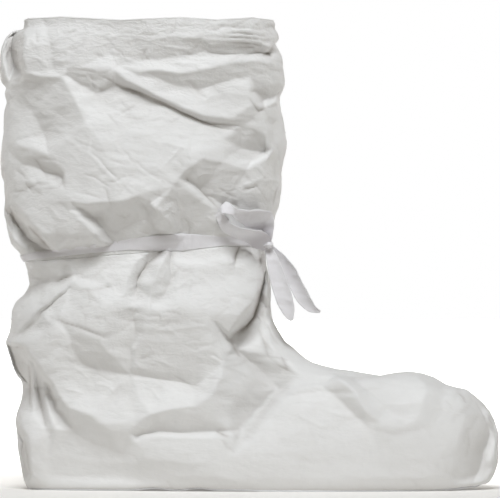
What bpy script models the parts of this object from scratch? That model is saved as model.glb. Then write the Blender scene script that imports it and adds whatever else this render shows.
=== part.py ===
"""Disposable boot cover: a knee-high bag of white spunbonded sheet that is pulled over a boot.

The sewn upper is one hollow skin, open at the collar and underneath, where a flat sole panel closes it.
A flat tie of the same sheet cinches the shaft and is knotted in a bow at the front.
Metres, +X to the toe, +Z up, origin on the floor below the middle of the outline.
"""

import math
from collections import namedtuple

import bpy
import numpy as np

# Driving sizes of the boot cover as it stands empty
LENGTH = 0.3984  # back of the slack shaft to the tip of the toe
HEIGHT = 0.3760  # floor to collar
BALL_WIDTH = 0.116  # widest place of the forefoot
WALL = 0.0008  # crumpled sheet of the upper
SOLE_THICKNESS = 0.0012  # sewn sole panel
SOLE_LIP = 0.0015  # seam edge of the sole outside the upper
TOE_SPRING = 0.0030  # lift of the sole under the toe
TOE_SPRING_START = 0.86  # share of the sole's length where the lift begins
GAP = 0.0003  # clearance between pieces that meet
TIE_THICKNESS = 0.0008
TIE_WIDTH = 0.0150  # flat tape of the bow
FACETS_AROUND = 44  # facets of the upper round one section
TANGENT_STEP = 0.01  # angle between the two points that give a direction along a section
SHARP_ANGLE = math.radians(50.0)  # edges sharper than this are shaded sharp

# One row for each section of the upper, from the collar down to the sole seam. A section is a closed
# loop between a point on the back seam and a point on the front seam, seen from the side.
#   back, front                 shares of LENGTH, from the back
#   back_height, front_height   shares of HEIGHT, from the floor
#   back_half, front_half       half breadths towards each end, as shares of half the BALL_WIDTH
#   roundness                   exponent of the loop: 2 is an ellipse, more is squarer
#   facets                      facets from this row down to the next
Section = namedtuple(
    "Section", "name back back_height front front_height back_half front_half roundness facets"
)
SECTIONS = (
    Section("collar", 0.026, 0.997, 0.548, 0.999, 0.84, 0.84, 2.2, 1),
    Section("hem_bulge", 0.000, 0.922, 0.560, 0.926, 0.92, 0.91, 2.2, 2),
    Section("upper_dent", 0.012, 0.832, 0.566, 0.845, 0.91, 0.90, 2.2, 2),
    Section("mid_bulge", 0.000, 0.704, 0.570, 0.725, 0.96, 0.93, 2.2, 2),
    Section("slack_fold", 0.010, 0.602, 0.556, 0.614, 0.96, 0.90, 2.2, 2),
    Section("pouch", 0.017, 0.532, 0.546, 0.561, 0.92, 0.85, 2.1, 1),
    Section("tie_top", 0.050, 0.504, 0.536, 0.542, 0.79, 0.76, 2.1, 1),
    Section("tie_bottom", 0.054, 0.463, 0.532, 0.502, 0.79, 0.74, 2.1, 1),
    Section("gather", 0.056, 0.431, 0.530, 0.474, 0.83, 0.76, 2.1, 1),
    Section("ankle", 0.026, 0.389, 0.532, 0.423, 0.88, 0.79, 2.1, 2),
    Section("heel_bulge", 0.010, 0.312, 0.542, 0.361, 0.90, 0.82, 2.1, 2),
    Section("instep_top", 0.028, 0.246, 0.572, 0.310, 0.89, 0.84, 2.05, 1),
    Section("heel_pinch", 0.044, 0.214, 0.622, 0.269, 0.86, 0.85, 2.0, 1),
    Section("instep", 0.039, 0.188, 0.700, 0.250, 0.84, 0.86, 1.95, 1),
    Section("vamp_dip", 0.033, 0.167, 0.773, 0.240, 0.82, 0.87, 1.9, 1),
    Section("vamp_rise", 0.031, 0.147, 0.821, 0.247, 0.81, 0.89, 1.9, 1),
    Section("toe_top", 0.031, 0.126, 0.870, 0.236, 0.80, 0.92, 1.95, 1),
    Section("toe_brow", 0.033, 0.102, 0.922, 0.213, 0.79, 0.96, 2.05, 1),
    Section("toe_slope", 0.036, 0.078, 0.968, 0.179, 0.78, 0.98, 2.2, 1),
    Section("toe_front", 0.038, 0.056, 0.992, 0.138, 0.78, 1.00, 2.35, 1),
    Section("toe_tip", 0.042, 0.034, 1.000, 0.090, 0.77, 1.00, 2.5, 1),
    Section("toe_roll", 0.048, 0.016, 0.992, 0.039, 0.75, 0.98, 2.6, 1),
    Section("sole_seam", 0.056, 0.003, 0.964, 0.011, 0.72, 0.95, 2.6, 0),
)
BREADTH_START = 0.15  # share of a section's length where the breadth starts to turn from back to front
BREADTH_END = 0.70

# The knot of the bow sits on the tie beside the front seam
KNOT_TURN = -0.35  # angle round the tie, 0 at the front seam, negative on the near side
KNOT_RADII = (0.0060, 0.0080, 0.0072)  # out of the shaft, along the tie, up
KNOT_FACETS = (14, 8)  # round and from pole to pole

# One row for each place along a loop of the bow, from the knot out to its tip and back.
#   turn         angle round the shaft
#   rise         height of the tape's middle over the tie's middle
#   stand_off    distance of the tape's middle layer from the upper
#   width        width of the tape as a share of TIE_WIDTH, gathered in at the knot
LoopPlace = namedtuple("LoopPlace", "turn rise stand_off width")
NEAR_LOOP = (
    LoopPlace(-0.465, 0.000, 0.0040, 0.50),
    LoopPlace(-0.62, 0.003, 0.0024, 0.85),
    LoopPlace(-0.79, 0.008, 0.0021, 1.00),
    LoopPlace(-0.91, 0.010, 0.0034, 1.00),
    LoopPlace(-0.94, 0.010, 0.0068, 1.00),
    LoopPlace(-0.87, 0.009, 0.0102, 1.00),
    LoopPlace(-0.70, 0.006, 0.0110, 1.00),
    LoopPlace(-0.484, 0.001, 0.0074, 0.50),
)
FAR_LOOP = (
    LoopPlace(-0.235, 0.000, 0.0040, 0.50),
    LoopPlace(0.02, 0.002, 0.0024, 0.85),
    LoopPlace(0.22, 0.005, 0.0021, 1.00),
    LoopPlace(0.36, 0.006, 0.0034, 1.00),
    LoopPlace(0.40, 0.006, 0.0066, 1.00),
    LoopPlace(0.32, 0.005, 0.0096, 1.00),
    LoopPlace(0.08, 0.003, 0.0102, 1.00),
    LoopPlace(-0.209, 0.001, 0.0074, 0.50),
)
LOOP_FACETS = 3  # facets between two places of a loop

# One row for each place along a hanging end of the bow, from the knot down.
#   forward, side, up   place of the tape's middle, from the middle of the knot
#   width               width of the tape as a share of TIE_WIDTH
#   lean                angle of the tape's width from the side view's plane
TailPlace = namedtuple("TailPlace", "forward side up width lean")
NEAR_TAIL = (
    TailPlace(0.0010, -0.0016, -0.0073, 0.40, 0.2),
    TailPlace(0.006, -0.005, -0.020, 0.80, 0.2),
    TailPlace(0.012, -0.006, -0.036, 1.00, 0.1),
    TailPlace(0.018, -0.006, -0.049, 1.00, 0.0),
    TailPlace(0.023, -0.005, -0.061, 1.00, 0.0),
)
FAR_TAIL = (
    TailPlace(0.0035, 0.0014, -0.0074, 0.40, 0.3),
    TailPlace(0.015, 0.002, -0.016, 0.80, 0.5),
    TailPlace(0.024, 0.002, -0.029, 1.00, 0.7),
    TailPlace(0.032, 0.003, -0.042, 1.00, 0.8),
    TailPlace(0.038, 0.004, -0.050, 1.00, 0.8),
    TailPlace(0.046, 0.005, -0.054, 0.80, 0.6),
)
TAIL_FACETS = 3  # facets between two places of a hanging end


def smooth_step(value, start, end):
    """0 before start, 1 after end and a smooth turn between them."""
    share = np.clip((value - start) / (end - start), 0.0, 1.0)
    return share * share * (3.0 - 2.0 * share)


def curve_through(rows, facets):
    """A smooth curve through the rows, with the given number of facets after each row but the last."""
    rows = np.asarray(rows)
    ends = np.vstack([rows[0], rows, rows[-1]])
    fine = []
    for index, count in enumerate(facets):
        before, here, there, after = ends[index : index + 4]
        for share in np.arange(count) / count:
            fine.append(
                here
                + 0.5 * share * (there - before)
                + share**2 * (before - 2.5 * here + 2.0 * there - 0.5 * after)
                + share**3 * (1.5 * (here - there) + 0.5 * (after - before))
            )
    return np.array(fine + [rows[-1]])


def fine_sections():
    """The sections of the table and those between them."""
    return curve_through([row[1:8] for row in SECTIONS], [row.facets for row in SECTIONS[:-1]])


def section_number(name):
    """Index of a table row among the fine sections."""
    names = [section.name for section in SECTIONS]
    return sum(section.facets for section in SECTIONS[: names.index(name)])


def signed_power(value, power):
    """A power that keeps the sign of its base."""
    return np.sign(value) * np.abs(value) ** power


def loop_points(row, turn):
    """Points of one section at the angles in turn: 0 at the front seam, half a turn at the back seam."""
    back, back_height, front, front_height, back_half, front_half, roundness = row
    along = 0.5 + 0.5 * signed_power(np.cos(turn), 2.0 / roundness)
    across = signed_power(np.sin(turn), 2.0 / roundness)
    half = back_half + (front_half - back_half) * smooth_step(along, BREADTH_START, BREADTH_END)
    x = (back + (front - back) * along - 0.5) * LENGTH
    y = across * half * BALL_WIDTH / 2.0
    z = (back_height + (front_height - back_height) * along) * HEIGHT
    return np.stack([x, y, z], axis=-1)


def sole_lift(x):
    """Height of the sole's underside: flat from heel to ball, then the toe spring."""
    back, front = SECTIONS[-1].back, SECTIONS[-1].front
    start = back + (front - back) * TOE_SPRING_START
    share = np.clip((x / LENGTH + 0.5 - start) / (front - start), 0.0, None)
    return TOE_SPRING * share**2


def place_on_upper(turn, height_over_tie, stand_off):
    """A point off the upper near the tie, at an angle round it and a height over the tie's middle."""
    fine = fine_sections()
    first, last = section_number("mid_bulge"), section_number("heel_bulge")
    levels = np.arange(first, last + 1)
    angle = np.array([turn])
    column = np.array([loop_points(fine[level], angle)[0] for level in levels])
    top = section_number("tie_top") - first
    height = 0.5 * (column[top, 2] + column[top + 1, 2]) + height_over_tie
    level = np.interp(height, column[::-1, 2], levels[::-1])
    row = np.array([np.interp(level, np.arange(len(fine)), values) for values in fine.T])
    ahead, behind = (loop_points(row, angle + shift)[0] for shift in (TANGENT_STEP, -TANGENT_STEP))
    around = ahead - behind
    out = np.array([around[1], -around[0], 0.0])
    return loop_points(row, angle)[0] + out / np.linalg.norm(out) * stand_off


def upper_rings():
    """Outer surface of the upper: an array of sections, angles and coordinates."""
    turn = np.linspace(0.0, 2.0 * math.pi, FACETS_AROUND, endpoint=False)
    rings = np.array([loop_points(row, turn) for row in fine_sections()])
    rings[-1, :, 2] = sole_lift(rings[-1, :, 0]) + SOLE_THICKNESS + GAP
    return rings


def surface_normals(rings):
    """Unit vectors out of the surface at each point of a grid of rings."""
    down = np.gradient(rings, axis=0)
    around = np.roll(rings, -1, axis=1) - np.roll(rings, 1, axis=1)
    normal = np.cross(down, around)
    return normal / np.linalg.norm(normal, axis=-1, keepdims=True)


def tube_faces(rows, columns, first=0):
    """Quads of a grid whose columns close on themselves, facing out."""
    faces = []
    for row in range(rows - 1):
        for column in range(columns):
            beside = (column + 1) % columns
            here, below = first + row * columns, first + (row + 1) * columns
            faces.append((here + column, below + column, below + beside, here + beside))
    return faces


def material(name, colour, roughness):
    """A matt sheet with one colour."""
    made = bpy.data.materials.new(name)
    made.use_nodes = True
    shader = made.node_tree.nodes["Principled BSDF"]
    shader.inputs["Base Color"].default_value = (*colour, 1.0)
    shader.inputs["Roughness"].default_value = roughness
    shader.inputs["Metallic"].default_value = 0.0
    return made


def add_object(name, points, faces, finish):
    """A mesh object under the boot cover's own empty, shaded smooth but for its real edges."""
    mesh = bpy.data.meshes.new(name)
    mesh.from_pydata([tuple(point) for point in points], [], faces)
    mesh.materials.append(finish)
    mesh.shade_smooth()
    mesh.set_sharp_from_angle(angle=SHARP_ANGLE)
    made = bpy.data.objects.new(name, mesh)
    bpy.context.scene.collection.objects.link(made)
    made.parent = bpy.data.objects["boot_cover"]
    return made


def build_upper(finish):
    """One hollow skin from the collar to the sole seam, open at both."""
    rings = upper_rings()
    faces = tube_faces(len(rings), FACETS_AROUND)
    upper = add_object("upper", rings.reshape(-1, 3), faces, finish)
    wall = upper.modifiers.new("wall", "SOLIDIFY")
    wall.thickness = WALL
    wall.offset = -1.0
    wall.use_even_offset = True


def build_sole(finish):
    """Flat panel with the outline of the sole seam and a narrow lip outside it."""
    seam = upper_rings()[-1]
    middle = seam.mean(axis=0)
    reach = np.linalg.norm((seam - middle)[:, :2], axis=1, keepdims=True)
    outline = seam[:, :2] + (seam - middle)[:, :2] / reach * SOLE_LIP
    under = np.column_stack([outline, sole_lift(outline[:, 0])])
    over = under + (0.0, 0.0, SOLE_THICKNESS)
    count, half = len(outline), len(outline) // 2
    faces = []
    for column in range(count):
        beside = (column + 1) % count
        faces.append((column, beside, count + beside, count + column))
    for column in range(half):
        left, left_next = column, column + 1
        right, right_next = -column % count, count - column - 1
        strip = list(dict.fromkeys((left, left_next, right_next, right)))
        faces.append(tuple(count + corner for corner in strip))
        faces.append(tuple(reversed(strip)))
    add_object("sole", np.vstack([under, over]), faces, finish)


def build_tie_band(finish):
    """The tie where it is drawn round the shaft: a flat hoop on the upper's own facets."""
    rings = upper_rings()
    top = section_number("tie_top")
    seat = rings[top : top + 2]
    out = surface_normals(rings)[top : top + 2]
    inner, outer = seat + out * GAP, seat + out * (GAP + TIE_THICKNESS)
    points = np.vstack([outer.reshape(-1, 3), inner.reshape(-1, 3)])
    count = FACETS_AROUND
    faces = tube_faces(2, count)
    faces += [tuple(reversed(face)) for face in tube_faces(2, count, first=2 * count)]
    for column in range(count):
        beside = (column + 1) % count
        faces.append((column, beside, 2 * count + beside, 2 * count + column))
        faces.append((count + beside, count + column, 3 * count + column, 3 * count + beside))
    add_object("tie_band", points, faces, finish)


def tape_solid(name, edges, finish):
    """A flat tape between two edge curves, half of its thickness to each side of them."""
    left, right = edges
    along = np.gradient(0.5 * (left + right), axis=0)
    flat = np.cross(along, right - left)
    thick = flat / np.linalg.norm(flat, axis=1, keepdims=True) * TIE_THICKNESS / 2.0
    rings = np.stack([left + thick, right + thick, right - thick, left - thick], axis=1)
    count = len(rings)
    faces = tube_faces(count, 4)
    faces.append((0, 1, 2, 3))
    faces.append(tuple(4 * (count - 1) + corner for corner in (3, 2, 1, 0)))
    add_object(name, rings.reshape(-1, 3), faces, finish)


def build_loop(name, places, finish):
    """One loop of the bow: the tape leaves the knot, turns at its tip and comes back to the knot."""
    rows = curve_through(places, [LOOP_FACETS] * (len(places) - 1))
    lower, upper = (
        np.array([place_on_upper(turn, rise + side * width, off) for turn, rise, off, width in rows])
        for side in (-0.5 * TIE_WIDTH, 0.5 * TIE_WIDTH)
    )
    tape_solid(name, (lower, upper), finish)


def knot_middle():
    """Middle of the knot, a clearance away from the tie's outer face."""
    return place_on_upper(KNOT_TURN, 0.0, 2.0 * GAP + TIE_THICKNESS + KNOT_RADII[0])


def build_knot(finish):
    """A small flattened lump turned to face out of the shaft."""
    around, levels = KNOT_FACETS
    middle = knot_middle()
    out = middle - place_on_upper(KNOT_TURN, 0.0, 0.0)
    out /= np.linalg.norm(out)
    along = np.array([-out[1], out[0], 0.0])
    turn = np.linspace(0.0, 2.0 * math.pi, around, endpoint=False)
    points = [middle + (0.0, 0.0, KNOT_RADII[2])]
    for fall in np.linspace(0.0, math.pi, levels + 1)[1:-1]:
        for angle in turn:
            sideways = math.sin(fall) * np.array([math.cos(angle), math.sin(angle)])
            points.append(
                middle
                + out * sideways[0] * KNOT_RADII[0]
                + along * sideways[1] * KNOT_RADII[1]
                + np.array([0.0, 0.0, math.cos(fall) * KNOT_RADII[2]])
            )
    points.append(middle - (0.0, 0.0, KNOT_RADII[2]))
    faces = tube_faces(levels - 1, around, first=1)
    last = len(points) - 1
    for column in range(around):
        beside = (column + 1) % around
        faces.append((0, 1 + column, 1 + beside))
        faces.append((last, last - around + beside, last - around + column))
    add_object("tie_knot", points, faces, finish)


def build_tail(name, places, finish):
    """A hanging end of the bow."""
    rows = curve_through(places, [TAIL_FACETS] * (len(places) - 1))
    middle = knot_middle() + rows[:, :3]
    along = np.gradient(middle, axis=0)
    along /= np.linalg.norm(along, axis=1, keepdims=True)
    lean = rows[:, 4]
    facing = np.stack([np.sin(lean), -np.cos(lean), np.zeros(len(lean))], axis=1)
    across = np.cross(facing, along)
    across *= 0.5 * TIE_WIDTH * rows[:, 3:4] / np.linalg.norm(across, axis=1, keepdims=True)
    tape_solid(name, (middle - across, middle + across), finish)


def main():
    """Clear the scene and build the boot cover's pieces."""
    for old in list(bpy.data.objects):
        bpy.data.objects.remove(old)
    bpy.context.scene.collection.objects.link(bpy.data.objects.new("boot_cover", None))
    sheet = material("white_sheet", (0.80, 0.80, 0.78), 0.55)
    sole_sheet = material("sole_sheet", (0.78, 0.78, 0.77), 0.60)
    tape = material("tie_tape", (0.82, 0.82, 0.82), 0.55)
    build_upper(sheet)
    build_sole(sole_sheet)
    build_tie_band(tape)
    build_knot(tape)
    build_loop("tie_loop_near", NEAR_LOOP, tape)
    build_loop("tie_loop_far", FAR_LOOP, tape)
    build_tail("tie_tail_near", NEAR_TAIL, tape)
    build_tail("tie_tail_far", FAR_TAIL, tape)


main()
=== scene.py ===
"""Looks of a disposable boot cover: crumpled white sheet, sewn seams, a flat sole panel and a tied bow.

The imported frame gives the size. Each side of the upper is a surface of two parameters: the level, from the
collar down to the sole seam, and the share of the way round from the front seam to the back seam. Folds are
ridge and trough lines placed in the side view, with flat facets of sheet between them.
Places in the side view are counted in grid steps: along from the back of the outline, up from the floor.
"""

import logging
import math
from dataclasses import dataclass, field
from enum import Enum
from typing import NamedTuple, Optional, Sequence, Union

import bpy
import numpy as np
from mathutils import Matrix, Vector
from mathutils.geometry import delaunay_2d_cdt


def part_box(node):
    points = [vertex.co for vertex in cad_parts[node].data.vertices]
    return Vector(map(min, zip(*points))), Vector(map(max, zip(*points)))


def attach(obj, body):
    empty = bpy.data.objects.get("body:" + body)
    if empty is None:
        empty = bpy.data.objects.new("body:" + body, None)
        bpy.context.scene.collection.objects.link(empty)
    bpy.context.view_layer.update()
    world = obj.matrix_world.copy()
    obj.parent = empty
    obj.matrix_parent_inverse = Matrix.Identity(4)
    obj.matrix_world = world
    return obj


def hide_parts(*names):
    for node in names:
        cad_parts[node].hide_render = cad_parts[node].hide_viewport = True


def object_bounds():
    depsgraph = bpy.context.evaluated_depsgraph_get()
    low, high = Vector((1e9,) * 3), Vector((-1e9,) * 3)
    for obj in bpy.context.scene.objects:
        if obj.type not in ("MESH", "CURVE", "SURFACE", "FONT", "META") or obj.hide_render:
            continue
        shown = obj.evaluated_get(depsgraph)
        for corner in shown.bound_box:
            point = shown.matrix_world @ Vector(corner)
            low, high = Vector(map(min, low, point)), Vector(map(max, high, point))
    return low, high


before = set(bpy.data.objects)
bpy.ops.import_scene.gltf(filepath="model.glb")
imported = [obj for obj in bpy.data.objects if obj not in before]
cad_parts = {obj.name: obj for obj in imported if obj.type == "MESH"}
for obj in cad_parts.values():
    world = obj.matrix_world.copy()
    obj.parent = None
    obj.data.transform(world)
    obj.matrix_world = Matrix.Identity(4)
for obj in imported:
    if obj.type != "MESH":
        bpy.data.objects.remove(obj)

LOG = logging.getLogger("boot_cover")
CAD_LOW, CAD_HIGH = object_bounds()
GRID_LENGTH = 498  # grid steps from the back of the outline to the tip of the toe
GRID_HEIGHT = 500  # grid steps from the floor to well above the collar
STEP = (CAD_HIGH.x - CAD_LOW.x) / GRID_LENGTH
MM = 0.001
SEED = 7
CREASED_SEED = SEED + 9
SOLE_SEED = SEED + 20
TAPE_SEED = SEED + 30
BAND_SEED = SEED + 40
JAG_SEEDS = (SEED + 50, SEED + 60)
TAPE_THICKNESS = 0.7 * MM
TOE_SPRING = (428, 498, 3.0)  # start and end along, and rise in millimetres
WAVE_BLEND = (12 * MM, 36 * MM)  # distance to the near side at which the sole's waves begin and are full


class Side(Enum):
    """Side of the cover, by the sign of its Y."""

    NEAR = -1
    FAR = 1


class Edge(NamedTuple):
    """A place on the front or back outline, with the name of the station that it lies on."""

    along: float
    up: float
    station: str = ""


class Breadth(NamedTuple):
    """Half breadths of a section at its back and front in millimetres, and the exponent of its loop."""

    station: str
    back: float
    front: float
    roundness: float


class FoldLine(NamedTuple):
    """A ridge or trough of the sheet: how soft it is, and its places as along, up and lift.

    The lift counts in units of UpperForm.DEPTH.
    """

    name: str
    soft: float
    places: tuple


class Crease(NamedTuple):
    """A thin crease: places as along and up, its lift in millimetres and its width in grid steps."""

    places: tuple
    lift: float
    width: float


class TapePlace(NamedTuple):
    """A place on a tape's middle line, with depth and width in millimetres and lean in degrees."""

    along: float
    depth: float
    up: float
    width: float
    lean: float


class TapeFold(NamedTuple):
    """A fold across a tape: along, up and depth in millimetres, first at one edge and then at the other."""

    along: float
    up: float
    depth: float
    other_along: float
    other_up: float
    other_depth: float


class BandPlace(NamedTuple):
    """A place on the tie band: along, up and the width of the rolled tape in grid steps."""

    along: float
    up: float
    width: float


class CreaseZone(NamedTuple):
    """A part of the side view with small creases: where, how many, their lift and their tilt."""

    along: tuple
    up: tuple
    count: int
    lift: float
    tilt: float


class LightPanel(NamedTuple):
    """A soft light: where it is, what it faces, its width and height, its power in watts and its spread."""

    name: str
    place: tuple
    aim: tuple
    size: tuple
    power: float
    spread: float = 180.0


BACK_OUTLINE = (
    Edge(26, 468, "collar"), Edge(25, 459), Edge(13, 457), Edge(6, 450), Edge(2, 441), Edge(1, 434, "hem"),
    Edge(1, 419), Edge(3, 406), Edge(8, 402), Edge(6, 396), Edge(8, 387, "dent"), Edge(5, 371),
    Edge(4, 355), Edge(2, 339), Edge(1, 327, "mid"), Edge(2, 315), Edge(5, 307), Edge(6, 291, "slack"),
    Edge(5, 275), Edge(8, 259), Edge(11, 246, "pouch"), Edge(19, 238, "tie_top"), Edge(25, 228),
    Edge(28, 219, "tie_bottom"), Edge(30, 205, "gather"), Edge(25, 195), Edge(16, 187, "ankle"),
    Edge(13, 179), Edge(12, 171), Edge(11, 163), Edge(9, 155), Edge(6, 147, "heel_bulge"), Edge(8, 139),
    Edge(11, 131), Edge(13, 123), Edge(16, 115, "instep_top"), Edge(22, 107), Edge(23, 100, "heel_pinch"),
    Edge(22, 91, "instep"), Edge(20, 83), Edge(18, 78, "vamp_dip"), Edge(16, 67, "vamp_rise"),
    Edge(17, 59, "toe_top"), Edge(18, 48, "toe_brow"), Edge(19, 37, "toe_slope"), Edge(21, 27, "toe_front"),
    Edge(23, 17, "toe_tip"), Edge(25, 8, "toe_roll"), Edge(28, 2, "sole_seam"),
)
FRONT_OUTLINE = (
    Edge(273, 469, "collar"), Edge(275, 465), Edge(273, 461), Edge(277, 455), Edge(278, 450),
    Edge(274, 445), Edge(277, 441), Edge(281, 433, "hem"), Edge(283, 419), Edge(285, 404), Edge(281, 397),
    Edge(279, 391, "dent"), Edge(280, 383), Edge(284, 363), Edge(286, 343), Edge(285, 335, "mid"),
    Edge(283, 329), Edge(281, 315), Edge(281, 299, "slack"), Edge(279, 291), Edge(278, 283), Edge(275, 275),
    Edge(273, 265, "pouch"), Edge(269, 256, "tie_top"), Edge(266, 246), Edge(266, 237, "tie_bottom"),
    Edge(266, 222, "gather"), Edge(269, 205), Edge(270, 197, "ankle"), Edge(270, 187),
    Edge(271, 171, "heel_bulge"), Edge(275, 163), Edge(280, 155), Edge(285, 147, "instep_top"),
    Edge(295, 139), Edge(304, 131, "heel_pinch"), Edge(312, 126), Edge(325, 122), Edge(338, 119),
    Edge(350, 117, "instep"), Edge(362, 116), Edge(374, 114), Edge(386, 112, "vamp_dip"), Edge(392, 113),
    Edge(398, 116), Edge(410, 117, "vamp_rise"), Edge(422, 115), Edge(434, 111, "toe_top"), Edge(446, 104),
    Edge(458, 101, "toe_brow"), Edge(470, 97), Edge(482, 87, "toe_slope"), Edge(490, 77),
    Edge(494, 69, "toe_front"), Edge(498, 56), Edge(498.5, 46, "toe_tip"), Edge(498, 27),
    Edge(495, 17, "toe_roll"), Edge(489, 9), Edge(480, 4, "sole_seam"),
)
BREADTHS = (
    Breadth("collar", 48.7, 48.7, 2.2), Breadth("hem", 50.6, 50.2, 2.2), Breadth("dent", 50.0, 49.6, 2.2),
    Breadth("mid", 52.4, 51.0, 2.2), Breadth("slack", 52.4, 49.6, 2.2), Breadth("pouch", 51.4, 48.0, 2.1),
    Breadth("tie_top", 45.8, 44.1, 2.1), Breadth("tie_bottom", 45.8, 42.9, 2.1),
    Breadth("gather", 48.1, 44.0, 2.1), Breadth("ankle", 51.0, 45.8, 2.1),
    Breadth("heel_bulge", 52.2, 47.6, 2.1), Breadth("instep_top", 51.6, 48.7, 2.05),
    Breadth("heel_pinch", 49.9, 49.3, 2.0), Breadth("instep", 49.8, 49.9, 2.1),
    Breadth("vamp_dip", 49.8, 50.5, 2.2), Breadth("vamp_rise", 49.8, 51.6, 2.5),
    Breadth("toe_top", 49.6, 53.4, 2.7), Breadth("toe_brow", 49.4, 55.7, 2.8),
    Breadth("toe_slope", 49.0, 56.8, 2.8), Breadth("toe_front", 48.6, 58.0, 2.75),
    Breadth("toe_tip", 47.0, 58.0, 2.65), Breadth("toe_roll", 43.8, 56.8, 2.6),
    Breadth("sole_seam", 39.6, 54.6, 2.6),
)
STATIONS = tuple(row.station for row in BREADTHS)

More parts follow.
